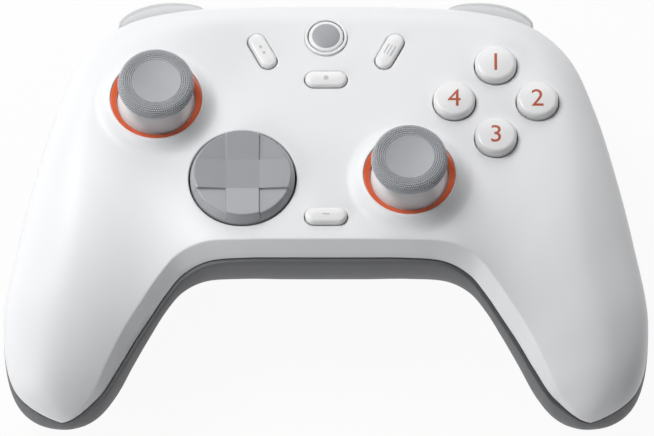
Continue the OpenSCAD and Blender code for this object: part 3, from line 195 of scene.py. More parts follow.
# Parting line of the right half, from the top centre round the grip tip to the arch
OUTLINE = np.array([
    (0, TOP_Y), (18, TOP_Y - 0.1), (35, TOP_Y - 1), (49, TOP_Y - 4.5), (58.8, TOP_Y - 13),
    (64.8, 13), (69.6, -3), (HALF_W - 3.5, -20), (HALF_W, -39), (HALF_W - 2.7, 6.6 - TIP_Y),
    (TIP_X, -TIP_Y),
    (TIP_X - 8.5, 4.1 - TIP_Y), (50, -51.3), (46, -45.6), (42.2, -40.7), (38.5, -36.1),
    (34.2, -ARCH_Y - 2.6), (28, -ARCH_Y - 0.4), (19, -ARCH_Y), (9.5, -ARCH_Y), (0, -ARCH_Y),
], float)
FLIP = np.array((-1.0, 1.0))
# Heights and widths at each step from the middle to the grip tip
OUTER_LINE = (
    -EDGE_DROP, -EDGE_DROP - 0.2, -EDGE_DROP - 0.8, -8, -9.6, -11.2, -13.4, -16.6, -21, -26, -TIP_DROP)
INNER_LINE = (
    -ARCH_DROP, -ARCH_DROP, -ARCH_DROP - 0.1, -6.6, -9.2, -12.2, -15.2, -18.2, -21.6, -25.6, -TIP_DROP)
CROWN_LINE = (0, 0, 0, 0, 0, -0.6, -2.2, -5.5, -11, -19, -TIP_DROP)
UNDER_LINE = (
    -HUMP_DROP, -HUMP_DROP, 0.8 - HUMP_DROP, 2.4 - HUMP_DROP, 3.6 - HUMP_DROP, 4 - HUMP_DROP,
    9.5 - GRIP_DROP, 4 - GRIP_DROP, -GRIP_DROP, 6.5 - GRIP_DROP, -TIP_DROP)
BEVEL_WIDTH = (2.4, 2.4, 2.4, 2.7, 3.1, 3.2, 3.1, 2.9, 2.4, 1.4, 0)
BEVEL_HEIGHT = (5, 5, 5, 5.1, 5.2, 5.2, 5, 4.6, 3.8, 2.2, 0)
ROLL_WIDTH = (8, 8, 8.5, 10.5, 14, 17, 19, 20, 18, 12, 1)
LOW_POINT = (HUMP_SHARE, HUMP_SHARE, HUMP_SHARE + 0.01, 0.38, 0.43, 0.47, 0.5, 0.5, 0.5, 0.5, 0.5)

# Fineness of the meshes
SECTIONS = 150
FACE_ROWS, INSIDE_ROWS, UNDER_ROWS = 64, 28, 88
ROUND, FINE_ROUND, COARSE_ROUND = 96, 128, 32
PIERCE_MARGIN = 0.25
CREASE = 0.35


def seated(points):
    """Millimetres in the face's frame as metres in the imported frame."""
    p = np.asarray(points, float).reshape(-1, 3)
    y = COS_TILT * p[:, 1] + SIN_TILT * p[:, 2] + SEAT_Y
    z = -SIN_TILT * p[:, 1] + COS_TILT * p[:, 2] + SEAT_Z
    return np.column_stack((p[:, 0], y, z)) / 1000


def on_face(points):
    """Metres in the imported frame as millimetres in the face's frame."""
    p = 1000 * np.asarray(points, float).reshape(-1, 3) - (0, SEAT_Y, SEAT_Z)
    y = COS_TILT * p[:, 1] - SIN_TILT * p[:, 2]
    return np.column_stack((p[:, 0], y, SIN_TILT * p[:, 1] + COS_TILT * p[:, 2]))


def in_metres(points):
    """Millimetres as metres, where they are."""
    return np.asarray(points, float) / 1000


def lifted(xy, z):
    """Points of a plan at one height, or at a height each."""
    return np.column_stack((xy, np.broadcast_to(z, len(xy))))


def circle(place, r, z, count=ROUND, shift=0.0):
    """Points round an upright axis, moved on by a share of one step."""
    a = (np.arange(count) + shift) * 2 * math.pi / count
    return lifted(np.column_stack((place[0] + r * np.cos(a), place[1] + r * np.sin(a))), z)


def arc(middle, size, start, stop, steps):
    """Points of a profile along an arc, or along a stretched one where size is a pair."""
    a = np.radians(np.linspace(start, stop, steps))
    across, up = size if isinstance(size, tuple) else (size, size)
    return list(zip(middle[0] + across * np.cos(a), middle[1] + up * np.sin(a)))


def bend(start, corner, end, steps):
    """Points of a softened corner, without its start."""
    t = np.linspace(0, 1, steps + 1)[1:, None]
    return (1 - t) ** 2 * np.asarray(start) + 2 * t * (1 - t) * np.asarray(corner) + t**2 * np.asarray(end)


def curve(a, b, c, d, t):
    """The share t of the way from b to c, on a smooth line through all four."""
    return 0.5 * (2 * b + (c - a) * t + (2 * a - 5 * b + 4 * c - d) * t**2 + (3 * b - a - 3 * c + d) * t**3)


def along(values, k):
    """A height or width at the step k from the middle to the grip tip."""
    i = min(int(k), TIP - 1)
    before = values[i - 1] if i > 0 else values[1]
    after = values[i + 2] if i < TIP - 1 else 2 * values[TIP] - values[TIP - 1]
    return curve(before, values[i], values[i + 1], after, k - i)


def rim(t):
    """A point of the parting line."""
    last = 2 * TIP
    i = min(int(t), last - 1)
    before = OUTLINE[i - 1] if i > 0 else OUTLINE[1] * FLIP
    after = OUTLINE[i + 2] if i < last - 1 else OUTLINE[last - 1] * FLIP
    return curve(before, OUTLINE[i], OUTLINE[i + 1], after, t - i)


def rim_normal(t):
    v = rim(min(t + 0.01, 2 * TIP)) - rim(max(t - 0.01, 0))
    return np.array((-v[1], v[0])) / np.linalg.norm(v)


def rim_out(t, d):
    """A point at the distance d outside the parting line."""
    return rim(t) + d * rim_normal(t)


def rolled(q):
    return (1 - (1 - np.minimum(1, q)) ** ROUNDNESS) ** (1 / ROUNDNESS)


def over_face(c, span, outer, crown, edge, flat, roll):
    """Height of the face at the share c of the way across a section."""
    fall = np.maximum(0, (c / flat - LEVEL_SHARE) / (1 - LEVEL_SHARE))
    level = crown - (crown - edge) * fall**2
    return outer + np.maximum(0, level - outer) * rolled(c * span / roll)


class Section:
    """One cross-section of the face, a wall's depth or less under it."""

    def __init__(self, k, inset):
        self.p = rim_out(k, -inset)
        self.q = rim_out(2 * TIP - k, -inset)
        self.span = np.linalg.norm(self.q - self.p)
        self.inner = along(INNER_LINE, k)
        self.flat = max(0.5, 1 - along(BEVEL_WIDTH, k) / self.span)
        crown = along(CROWN_LINE, k) - inset
        edge = self.inner + max(0, along(BEVEL_HEIGHT, k) - inset)
        self.form = (along(OUTER_LINE, k), crown, edge, self.flat, max(0.5, along(ROLL_WIDTH, k)))

    def at(self, c):
        """Points at the shares c of the way across."""
        c = np.asarray(c, float)
        return lifted(self.p + np.outer(c, self.q - self.p), over_face(c, self.span, *self.form))

    def row(self, rows):
        """Points from the outer edge over the face, round the crease and down the bevel."""
        corner = self.at([self.flat])[0]
        end = np.array((*self.q, self.inner))
        slant = np.linalg.norm(end - corner)
        soft = min(CREASE, 0.4 * slant)
        steps = 1 - np.cos(np.linspace(0, math.pi / 2, rows + 1))
        face = self.at(steps * (self.flat - soft / self.span))
        after = corner + (end - corner) * (soft / max(slant, 1e-9))
        down = after + np.linspace(0, 1, 4)[1:, None] * (end - after)
        return np.vstack((face, bend(face[-1], corner, after, 6), down))


def under_row(k, inset, rows):
    """Points from the outer edge under the casing to the arch edge."""
    p = rim_out(k, -inset)
    q = rim_out(2 * TIP - k, LEDGE * min(1, TIP - k) - inset)
    zo, zi = along(OUTER_LINE, k) - PART_GAP, along(INNER_LINE, k) - PART_GAP
    deep = max(0, (zo + zi) / 2 - along(UNDER_LINE, k) - inset)
    skew = math.log(along(LOW_POINT, k)) / math.log(0.5)
    a = np.linspace(0, math.pi, rows + 1)
    even = (1 - np.sign(np.cos(a)) * np.abs(np.cos(a)) ** (2 / ROUNDNESS)) / 2
    s = np.clip(even, 0, 1) ** skew
    dip = np.abs(np.sin(a)) ** (2 / ROUNDNESS)
    return lifted(p + np.outer(s, q - p), zo + (zi - zo) * s - deep * dip)


def both_halves(row):
    """Rows from the left grip to the right grip, without the tips."""
    right = [row(TIP * i / SECTIONS) for i in range(SECTIONS)]
    return np.array([r * (-1, 1, 1) for r in right[:0:-1]] + right)


def tips_at(inset, z):
    """The two points of the grip tips."""
    x, y = rim_out(TIP, -inset)
    return [(-x, y, z), (x, y, z)]


class FaceHeight:
    """Height of the face, or of its inside, over any point of its plan."""

    def __init__(self, inset):
        sections = [Section(k, inset) for k in np.linspace(0, TIP - 0.5, 1400)]
        self.table = np.array([(*s.p, *s.q, *s.form) for s in sections])

    def over(self, xy):
        xy = np.column_stack((np.abs(xy[:, 0]), xy[:, 1]))
        p, q = self.table[:, :2], self.table[:, 2:4]
        d = q - p
        side = d[:, 0] * (xy[:, 1:] - p[:, 1]) - d[:, 1] * (xy[:, :1] - p[:, 0])
        i = np.maximum(1, np.argmax(side < 0, axis=1))
        n = np.arange(len(xy))
        t = side[n, i - 1] / (side[n, i - 1] - side[n, i])
        v = self.table[i - 1] + t[:, None] * (self.table[i] - self.table[i - 1])
        d = v[:, 2:4] - v[:, :2]
        c = ((xy - v[:, :2]) * d).sum(1) / (d * d).sum(1)
        return over_face(c, np.linalg.norm(d, axis=1), *v[:, 4:].T)


class Opening:
    """A round or pill-shaped opening in the face, with the free margin that is meshed round it."""

    def __init__(self, place, radius, reach=0.0, turn=0.0, margin=0.7, inside_margin=1.5):
        self.place = np.array(place[:2], float)
        self.radius = radius
        self.reach = reach
        self.turn = math.radians(turn)
        self.margin = margin
        self.inside_margin = inside_margin

    def distance(self, xy):
        """Distance outside the opening's edge, below zero within it."""
        d = np.asarray(xy, float) - self.place
        c, s = math.cos(self.turn), math.sin(self.turn)
        x = np.maximum(np.abs(c * d[..., 0] + s * d[..., 1]) - self.reach, 0)
        y = -s * d[..., 0] + c * d[..., 1]
        return np.hypot(x, y) - self.radius

    def loop(self, offset):
        """Points round the opening, moved outwards by offset."""
        r = self.radius + offset
        if not self.reach:
            p = circle((0, 0), r, 0)[:, :2]
        else:
            end = np.array(arc((self.reach, 0), r, -90, 90, 25))
            x = np.linspace(self.reach, -self.reach, 10)[1:-1]
            top = np.column_stack((x, np.full(len(x), r)))
            p = np.vstack((end, top, -end, -top))
        c, s = math.cos(self.turn), math.sin(self.turn)
        return self.place + p @ np.array(((c, s), (-s, c)))


class Shape:
    """Points and faces of a piece while it is put together."""

    def __init__(self):
        self.points = []
        self.faces = []

    def add(self, points):
        first = len(self.points)
        self.points.extend(np.asarray(points, float).reshape(-1, 3).tolist())
        return list(range(first, len(self.points)))

    def band(self, a, b, closed=True):
        """Faces between two rows of points."""
        n = len(a)
        for i in range(n if closed else n - 1):
            j = (i + 1) % n
            self.faces.append((a[i], a[j], b[j], b[i]))

    def fan(self, a, tip):
        for i in range(len(a)):
            self.faces.append((a[i], a[(i + 1) % len(a)], tip))

    def stack(self, rows, closed=True):
        for a, b in zip(rows, rows[1:]):
            self.band(a, b, closed)

    def loft(self, rings):
        """A solid through closed rings of points, with flat ends."""
        rows = [self.add(r) for r in rings]
        self.stack(rows)
        self.faces.extend((tuple(rows[0]), tuple(rows[-1])))

    def lathe(self, profile, place=(0, 0), count=ROUND):
        """A solid turned about an upright axis, from (radius, height) points that start and end on it."""
        rows = []
        for r, z in profile:
            rows.append(self.add([(*place, z)] if r < 1e-6 else circle(place, r, z, count)))
        for low, high in zip(rows, rows[1:]):
            if len(low) == 1:
                self.fan(high, low[0])
            elif len(high) == 1:
                self.fan(low, high[0])
            else:
                self.band(low, high)

    def ring(self, profile, place, count=ROUND):
        """A solid ring about an upright axis, from the points of its closed profile."""
        rows = [self.add(circle(place, r, z, count)) for r, z in profile]
        self.stack(rows + rows[:1])

    def box(self, low, high):
        p = self.add([
            (x, y, z) for x in (low[0], high[0]) for y in (low[1], high[1]) for z in (low[2], high[2])])
        for f in ((0, 1, 3, 2), (4, 6, 7, 5), (0, 4, 5, 1), (2, 3, 7, 6), (0, 2, 6, 4), (1, 5, 7, 3)):
            self.faces.append(tuple(p[i] for i in f))

    def rod(self, place, radius, low, high, count=48):
        self.lathe([(0, low), (radius, low), (radius, high), (0, high)], place, count)

    def mirrored(self):
        other = Shape()
        other.points = [(-x, y, z) for x, y, z in self.points]
        other.faces = list(self.faces)
        return other


def pierced(shape, rows, openings, height, margin_of):
    """Adds a skin of rows with openings to shape. Gives the rows' and the loops' point numbers."""
    count, n = rows.shape[:2]
    grid = np.array(shape.add(rows)).reshape(count, n)
    near = np.zeros((count, n), bool)
    for o in openings:
        near |= o.distance(rows[:, :, :2]) < margin_of(o) + PIERCE_MARGIN
    gone = near[:-1, :-1] | near[1:, :-1] | near[1:, 1:] | near[:-1, 1:]
    sides = {}
    for a in range(count - 1):
        for m in range(n - 1):
            quad = (grid[a, m], grid[a + 1, m], grid[a + 1, m + 1], grid[a, m + 1])
            if not gone[a, m]:
                shape.faces.append(tuple(int(i) for i in quad))
            if gone[max(0, a - 1):a + 2, max(0, m - 1):m + 2].any():
                for i in range(4):
                    side = frozenset((quad[i], quad[(i + 1) % 4]))
                    sides.setdefault(side, []).append(bool(gone[a, m]))
    ragged = [tuple(int(i) for i in e) for e, g in sides.items() if len(g) == 2 and g[0] != g[1]]
    loops = []
    for o in openings:
        xy = o.loop(margin_of(o))
        loops.append(shape.add(lifted(xy, height.over(xy))))
    rings = [(loop[i - 1], loop[i]) for loop in loops for i in range(len(loop))]
    used = sorted({i for e in ragged + rings for i in e})
    number = {v: i for i, v in enumerate(used)}
    flat = [Vector(shape.points[i][:2]) for i in used]
    walls = [(number[a], number[b]) for a, b in ragged + rings]
    made = delaunay_2d_cdt(flat, walls, [], 0, 1e-6)
    if len(made[0]) != len(flat):
        raise RuntimeError("an opening crosses the edge of the skin or another opening")
    back = [used[origin[0]] for origin in made[3]]
    triangles = [tuple(back[i] for i in f) for f in made[2]]
    fence = {frozenset(e) for e in ragged + rings}
    beside = {}
    for f, t in enumerate(triangles):
        for i in range(3):
            beside.setdefault(frozenset((t[i], t[(i + 1) % 3])), []).append(f)
    todo = []
    for o, loop in zip(openings, loops):
        for i in range(len(loop)):
            pair = beside[frozenset((loop[i - 1], loop[i]))]
            middle = [np.mean([shape.points[v][:2] for v in triangles[f]], axis=0) for f in pair]
            todo.append(max(zip([o.distance(c) for c in middle], pair))[1])
    wanted = set()
    while todo:
        f = todo.pop()
        if f in wanted:
            continue
        wanted.add(f)
        t = triangles[f]
        for i in range(3):
            edge = frozenset((t[i], t[(i + 1) % 3]))
            if edge not in fence:
                todo.extend(beside[edge])
    shape.faces.extend(triangles[f] for f in sorted(wanted))
    return grid, loops


def close_shell(shape, outer, inner, tip_z, rounding):
    """Joins the edges of two skins with a rounded rim, and closes both at the grip tips."""
    points = np.array(shape.points)
    tip = shape.add(tips_at(0, tip_z))
    tip_in = shape.add(tips_at(WALL, tip_z))
    fade = np.array([min(1.0, 2 * (TIP - TIP * abs(i) / SECTIONS)) for i in range(1 - SECTIONS, SECTIONS)])
    size = (rounding * fade)[:, None]
    for m, beside in ((0, 1), (-1, -2)):
        edge = points[outer[:, m]]
        inwards = points[inner[:, m]] - edge
        inwards /= np.linalg.norm(inwards, axis=1)[:, None]
        down = points[outer[:, beside]] - edge
        down /= np.maximum(np.linalg.norm(down, axis=1)[:, None], 1e-9)
        middle = edge + 0.29 * size * (inwards + down)
        for i, v in zip(outer[:, m], edge + size * down):
            shape.points[i] = v.tolist()
        rows = [list(outer[:, m]), shape.add(middle), shape.add(edge + size * inwards), list(inner[:, m])]
        ends = [tip, tip, tip, tip_in]
        shape.stack([[e[0], *r, e[1]] for r, e in zip(rows, ends)], closed=False)
    for skin, ends in ((outer, tip), (inner, tip_in)):
        for row, end in ((list(skin[0]), ends[0]), (list(skin[-1]), ends[1])):
            shape.faces.extend((a, b, end) for a, b in zip(row, row[1:]))


def linked(name, data):
    """A new object in the scene."""
    thing = bpy.data.objects.new(name, data)
    bpy.context.scene.collection.objects.link(thing)
    return thing


def drop(thing):
    """Takes away an object and its mesh."""
    mesh = thing.data
    bpy.data.objects.remove(thing)
    bpy.data.meshes.remove(mesh)


def cleaned(mesh):
    """Merges doubles, drops faces without area and turns all faces outwards."""
    b = bmesh.new()
    b.from_mesh(mesh)
    bmesh.ops.remove_doubles(b, verts=b.verts, dist=1e-6)
    bmesh.ops.dissolve_degenerate(b, edges=b.edges, dist=1e-7)
    bmesh.ops.recalc_face_normals(b, faces=b.faces)
    b.to_mesh(mesh)
    b.free()
    return mesh


def made_object(name, shape, placed=seated):
    mesh = bpy.data.meshes.new(name)
    faces = [tuple(int(i) for i in f) for f in shape.faces]
    mesh.from_pydata(placed(shape.points).tolist(), [], faces)
    return linked(name, cleaned(mesh))


def evaluated_mesh(thing):
    bpy.context.view_layer.update()
    graph = bpy.context.evaluated_depsgraph_get()
    return bpy.data.meshes.new_from_object(thing.evaluated_get(graph))


def set_mesh(thing, mesh):
    """Gives the piece its finished mesh and takes its modifiers off."""
    old = thing.data
    thing.modifiers.clear()
    thing.data = mesh
    bpy.data.meshes.remove(old)


def combine(thing, tool_shape, operation, placed=seated):
    """Cuts a shape out of a piece, or joins it on."""
    tool = made_object("tool", tool_shape, placed)
    step = thing.modifiers.new("combine", "BOOLEAN")
    step.operation = operation
    step.solver = "EXACT"
    step.object = tool
    set_mesh(thing, evaluated_mesh(thing))
    drop(tool)
    if not thing.data.polygons:
        raise RuntimeError(f"{thing.name} came out empty")


def smoothed(mesh, angle):
    mesh.shade_smooth()
    mesh.set_sharp_from_angle(angle=math.radians(angle))


def finish_piece(thing, body, slot, replaced=(), angle=40.0, material=None):
    """Smooths a piece, gives it its material and puts it on its body."""
    mesh = thing.data
    mesh.name = thing.name
    smoothed(mesh, angle)
    mesh.materials.clear()
    mesh.materials.append(finish(material or slot))
    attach(thing, body)
    if replaced:
        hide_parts(*replaced)


# Node trees


class Wire:
    """A value socket in a node tree, on which sums can be written."""

    def __init__(self, nodes, socket):
        self.nodes = nodes
        self.socket = socket

    def __add__(self, other):
        return self.nodes.math("ADD", self, other)

    def __radd__(self, other):
        return self.nodes.math("ADD", other, self)

    def __rsub__(self, other):
        return self.nodes.math("SUBTRACT", other, self)

    def __mul__(self, other):
        return self.nodes.math("MULTIPLY", self, other)

    def __rmul__(self, other):
        return self.nodes.math("MULTIPLY", other, self)


class Nodes:
    """A node tree that is put together node by node."""

    def __init__(self, tree):
        self.tree = tree

    def put(self, socket, value):
        if isinstance(value, Wire):
            self.tree.links.new(value.socket, socket)
        elif socket.type == "RGBA":
            socket.default_value = (*value, 1.0)
        else:
            socket.default_value = value

    def node(self, kind, output=0, settings=None, **values):
        """A new node's output. Two underscores stand for the space in an input's name."""
        made = self.tree.nodes.new(kind)
        for key, value in (settings or {}).items():
            setattr(made, key, value)
        by_name = {s.identifier: s for s in made.inputs}
        by_name.update({s.name: s for s in made.inputs if s.enabled})
        for key, value in values.items():
            self.put(by_name[key.replace("__", " ")], value)
        return Wire(self, made.outputs[output])

    def in_order(self, kind, *values, **settings):
        """The first output of a new node, whose inputs are given in their order."""
        made = self.tree.nodes.new(kind)
        for key, value in settings.items():
            setattr(made, key, value)
        for socket, value in zip(made.inputs, values):
            self.put(socket, value)
        return Wire(self, made.outputs[0])

    def math(self, operation, a, b):
        return self.in_order("ShaderNodeMath", a, b, operation=operation)


class Paint(Nodes):
    """A material in the making."""

    def __init__(self, name):
        self.material = bpy.data.materials.new(name)
        self.material.use_nodes = True
        super().__init__(self.material.node_tree)
        self.tree.nodes.clear()
        self.out = self.tree.nodes.new("ShaderNodeOutputMaterial")
        self.place = self.node("ShaderNodeTexCoord", "Object")

    def mix(self, share, a, b):
        """A colour between two colours."""
        made = self.tree.nodes.new("ShaderNodeMix")
        made.data_type = "RGBA"
        sockets = {s.identifier: s for s in made.inputs}
        self.put(sockets["Factor_Float"], share)
        self.put(sockets["A_Color"], a)
        self.put(sockets["B_Color"], b)
        return Wire(self, next(s for s in made.outputs if s.identifier == "Result_Color"))

    def noise(self, scale, detail=2.0, roughness=0.5):
        return self.node("ShaderNodeTexNoise", "Fac", Vector=self.place, Scale=scale, Detail=detail,
                         Roughness=roughness)

    def cells(self, scale, feature="F1", randomness=1.0):
        return self.node("ShaderNodeTexVoronoi", "Distance", {"feature": feature}, Vector=self.place,
                         Scale=scale, Randomness=randomness)

    def band(self, value, low, high):
        """Nought below low and one above high."""
        return self.node("ShaderNodeMapRange", 0, {"clamp": True}, Value=value, From__Min=low, From__Max=high)

    def bump(self, height, strength, distance):
        return self.node("ShaderNodeBump", Strength=strength, Distance=distance, Height=height)

    def surface(self, shader):
        self.put(self.out.inputs["Surface"], shader)
        return self.material

    def shade(self, **values):
        return self.surface(self.node("ShaderNodeBsdfPrincipled", **values))


class Growth(Nodes):
    """A Geometry Nodes tree with named inputs, which ends in real geometry with a material."""

    def __init__(self, name, **inputs):
        super().__init__(bpy.data.node_groups.new(name, "GeometryNodeTree"))
        sides = self.tree.interface
        for label, kind in inputs.items():
            sides.new_socket(label, in_out="INPUT", socket_type=f"NodeSocket{kind}")
        sides.new_socket("Geometry", in_out="OUTPUT", socket_type="NodeSocketGeometry")
        self.inputs = self.tree.nodes.new("NodeGroupInput")

    def given(self, name):
        return Wire(self, self.inputs.outputs[name])

    def ended(self, geometry):
        real = self.node("GeometryNodeRealizeInstances", Geometry=geometry)
        painted = self.node("GeometryNodeSetMaterial", Geometry=real, Material=self.given("Finish"))
        self.put(self.tree.nodes.new("NodeGroupOutput").inputs[0], painted)
        return self.tree


def grow(thing, tree, **values):
    """Runs a tree on a piece, with its named inputs set, and keeps the mesh that it makes."""
    step = thing.modifiers.new(tree.name, "NODES")
    step.node_group = tree
    names = {s.name: s.identifier for s in tree.interface.items_tree if s.in_out == "INPUT"}
    for name, value in values.items():
        step[names[name]] = value
    set_mesh(thing, evaluated_mesh(thing))


# Materials


GLOSS_SPREAD = 0.06


def toned(colour, share):
    return tuple(min(1, c * share) for c in colour)


def moulded(name, colour, roughness, grain, depth, coat=0.0, tint=0.06):
    """Moulded plastic: fine grain of the mould, faint shade differences and uneven gloss."""
    p = Paint(name)
    fine = p.noise(grain, 2.0, 0.6)
    shade = p.band(p.noise(28.0, 3.0) * 0.7 + fine * 0.3, 0.3, 0.7)
    gloss = roughness - GLOSS_SPREAD / 2 + GLOSS_SPREAD * p.noise(grain * 0.35)
    return p.shade(
        Base__Color=p.mix(shade, toned(colour, 1 - tint), colour), Roughness=gloss,
        Normal=p.bump(fine, 0.35, depth), Coat__Weight=coat, Coat__Roughness=0.12)


def gripped(name, colour, roughness):
    """Matte plastic with a fine pebbled texture on the grips, which fades out towards the middle, and painted
    shade between the pebbles.
    """
    p = Paint(name)
    x = p.node("ShaderNodeSeparateXYZ", Vector=p.place)
    where = p.band(p.math("ABSOLUTE", x, 0.0), 0.030, 0.046)
    pebbles = p.cells(760.0, "SMOOTH_F1", 0.55)
    height = p.noise(2600.0) * 0.25 + where * (1 - pebbles * 1.2)
    # Painted shade darkens the low gaps between the pebbles, on top of faint random tone.
    shade = p.band(pebbles, 0.15, 0.62) * where * 0.6 + p.noise(40.0, 3.0) * 0.3
    return p.shade(
        Base__Color=p.mix(shade, colour, toned(colour, 0.78)), Roughness=roughness + 0.08 * p.noise(300.0),
        Normal=p.bump(height, 0.5, 0.00012))


def rubbery(name, colour, roughness):
    """Soft rubber, with painted shade between its knurls, as much as the mesh marks at each point."""
    p = Paint(name)
    tone = p.mix(p.noise(160.0, 3.0), toned(colour, 0.9), toned(colour, 1.08))
    # Painted shade: the mesh's mark darkens the rubber between the knurls, and less on the dish.
    depth = p.node("ShaderNodeAttribute", "Fac", {"attribute_name": "valley"})
    return p.shade(
        Base__Color=p.mix(depth * 0.62, tone, toned(colour, 0.2)), Roughness=roughness + 0.1 * p.noise(700.0),
        Normal=p.bump(p.noise(3200.0, 3.0, 0.6), 0.3, 0.00005))


def metal(name, colour, roughness):
    """Drawn metal with fine streaks."""
    p = Paint(name)
    streaks = p.node("ShaderNodeMapping", Vector=p.place, Scale=(1.0, 1.0, 30.0))
    grain = p.node("ShaderNodeTexNoise", "Fac", Vector=streaks, Scale=900.0, Detail=2.0)
    return p.shade(
        Base__Color=p.mix(grain, toned(colour, 0.85), colour), Metallic=1.0,
        Roughness=roughness - 0.06 + 0.14 * grain, Normal=p.bump(grain, 0.15, 0.00002))


def circuit(name, colour):
    """Circuit board with raised tracks and bare pads."""
    p = Paint(name)
    lines = 1 - p.band(p.cells(330.0, "DISTANCE_TO_EDGE"), 0.05, 0.09)
    pads = 1 - p.band(p.cells(240.0), 0.12, 0.15)
    tone = p.mix(lines * 0.6, colour, toned(colour, 1.9))
    return p.shade(
        Base__Color=p.mix(pads * 0.8, tone, (0.72, 0.6, 0.32)), Roughness=0.38 + 0.1 * p.noise(900.0),
        Normal=p.bump(lines, 0.2, 0.00003))


def glazed(name, colour, edge):
    """Cloudy plastic over a light."""
    p = Paint(name)
    return p.shade(
        Base__Color=p.mix(p.noise(420.0, 3.0), colour, edge), Roughness=0.22 + 0.06 * p.noise(900.0),
        Normal=p.bump(p.noise(1800.0), 0.1, 0.00003), Coat__Weight=0.3, Coat__Roughness=0.1)


def foiled(name, colour):
    """Creased foil of a battery pouch, with painted shade in the low parts of its creases."""
    p = Paint(name)
    creases = p.noise(210.0, 4.0, 0.65)
    return p.shade(
        Base__Color=p.mix(creases, toned(colour, 0.8), colour), Metallic=0.7,
        Roughness=0.32 + 0.2 * creases, Normal=p.bump(creases, 0.4, 0.0002))


FINISHES = {}


def finish(slot):
    """The material of a slot, made the first time that it is asked for."""
    if slot in FINISHES:
        return FINISHES[slot]
    chosen = bpy.context.scene.controller_colours
    look = {name: tuple(getattr(chosen, name)) for name in ControllerColours.__annotations__}
    makers = {
        "shell_white": (moulded, look["shell_white"], 0.46, 2400.0, 0.00005, 0.0, 0.03),
        "shell_grey": (gripped, look["shell_grey"], 0.52),
        "ring_orange": (moulded, look["accent"], 0.34, 2600.0, 0.00004, 0.15, 0.1),
        "cap_rubber": (rubbery, look["stick_grey"], 0.55),
        "dome_pale": (moulded, (0.86, 0.86, 0.87), 0.22, 2600.0, 0.00002, 0.5, 0.04),
        "dpad_grey": (moulded, look["disc_grey"], 0.3, 2200.0, 0.00003, 0.35, 0.08),
        "button_white": (moulded, (0.86, 0.86, 0.865), 0.3, 2600.0, 0.00003, 0.15, 0.04),
        "light_ring": (glazed, (0.9, 0.9, 0.9), (0.82, 0.83, 0.84)),
        "bumper_grey": (moulded, look["bumper_grey"], 0.24, 2600.0, 0.00002, 0.4, 0.06),
        "trigger_grey": (moulded, look["bumper_grey"], 0.38, 1900.0, 0.00006, 0.1, 0.08),
        "inner_plastic": (moulded, (0.12, 0.12, 0.13), 0.5, 1800.0, 0.00005),
        "pale_plastic": (moulded, (0.62, 0.62, 0.64), 0.42, 1800.0, 0.00005),
        "black_plastic": (moulded, (0.03, 0.03, 0.032), 0.42, 1800.0, 0.00005),
        "silicone": (rubbery, (0.16, 0.16, 0.17), 0.6),
        "circuit_green": (circuit, (0.02, 0.12, 0.05)),
        "steel": (metal, (0.62, 0.63, 0.65), 0.34),
        "cell_foil": (foiled, (0.62, 0.64, 0.68)),
        "mark_orange": (moulded, toned(look["accent"], 0.55), 0.4, 2600.0, 0.00003, 0.0, 0.1),
        "mark_grey": (moulded, (0.36, 0.37, 0.39), 0.4, 2600.0, 0.00003),
        "mark_pale": (moulded, (0.55, 0.56, 0.575), 0.4, 2600.0, 0.00003),
    }
    make, *values = makers[slot]
    FINISHES[slot] = make(slot, *values)
    return FINISHES[slot]


# Properties


class ControllerSizes(bpy.types.PropertyGroup):
    """Sizes that a user would change."""

    hole_round: bpy.props.FloatProperty(
        name="Hole rounding", description="Rounding of the face's edge at a button", default=0.00035,
        min=0.0001, max=0.0006, unit="LENGTH", subtype="DISTANCE")
    knurl_around: bpy.props.IntProperty(
        name="Knurls around", description="Knurls in one row round a stick cap", default=104, min=40, max=160)
    knurl_rows: bpy.props.IntProperty(
        name="Knurl rows", description="Rows of knurls over the rim of a stick cap", default=15,
        min=6, max=24)
    knurl_height: bpy.props.FloatProperty(
        name="Knurl height", description="Height of one knurl", default=0.00026, min=0.00005, max=0.0004,
        unit="LENGTH", subtype="DISTANCE")
    digit_height: bpy.props.FloatProperty(
        name="Digit height", description="Height of the numbers on the face buttons", default=0.0046,
        min=0.002, max=0.006, unit="LENGTH", subtype="DISTANCE")


class ControllerColours(bpy.types.PropertyGroup):
    """Colours that a user would change."""

    shell_white: bpy.props.FloatVectorProperty(
        name="Front shell", description="Colour of the front shell", default=(0.84, 0.845, 0.855),
        size=3, min=0, max=1, subtype="COLOR")
    shell_grey: bpy.props.FloatVectorProperty(
        name="Rear shell", description="Colour of the rear shell", default=(0.135, 0.138, 0.145),
        size=3, min=0, max=1, subtype="COLOR")
    accent: bpy.props.FloatVectorProperty(
        name="Accent", description="Colour of the stick rings and the numbers", default=(0.9, 0.15, 0.05),
        size=3, min=0, max=1, subtype="COLOR")
    stick_grey: bpy.props.FloatVectorProperty(
        name="Stick caps", description="Colour of the stick caps", default=(0.6, 0.615, 0.645),
        size=3, min=0, max=1, subtype="COLOR")
    disc_grey: bpy.props.FloatVectorProperty(
        name="Direction disc", description="Colour of the direction disc", default=(0.34, 0.35, 0.37),
        size=3, min=0, max=1, subtype="COLOR")
    bumper_grey: bpy.props.FloatVectorProperty(
        name="Shoulder keys", description="Colour of the bumpers and triggers", default=(0.56, 0.57, 0.585),
        size=3, min=0, max=1, subtype="COLOR")


# Casing


def key_place(x, y):
    return np.array(KEYS_AT) + KEY_PITCH * np.array((x, y))


def face_openings():
    keys = [Opening(key_place(x, y), KEY_R + BUTTON_GAP) for x, y, _ in KEYS.values()]
    pills = [Opening(p, PILL_W / 2 + BUTTON_GAP, PILL_REACH, p[2]) for p in PILLS.values()]
    home = Opening(HOME_AT, HOME_RING_R + FIT)
    disc = Opening(DISC_AT, DISC_R + DISC_GAP, margin=0.5, inside_margin=0.5)
    sticks = [
        Opening(p, RING_R + FIT, margin=COLLAR_W + 0.2, inside_margin=1.8) for p in STICKS.values()]
    return keys, pills, home, disc, sticks


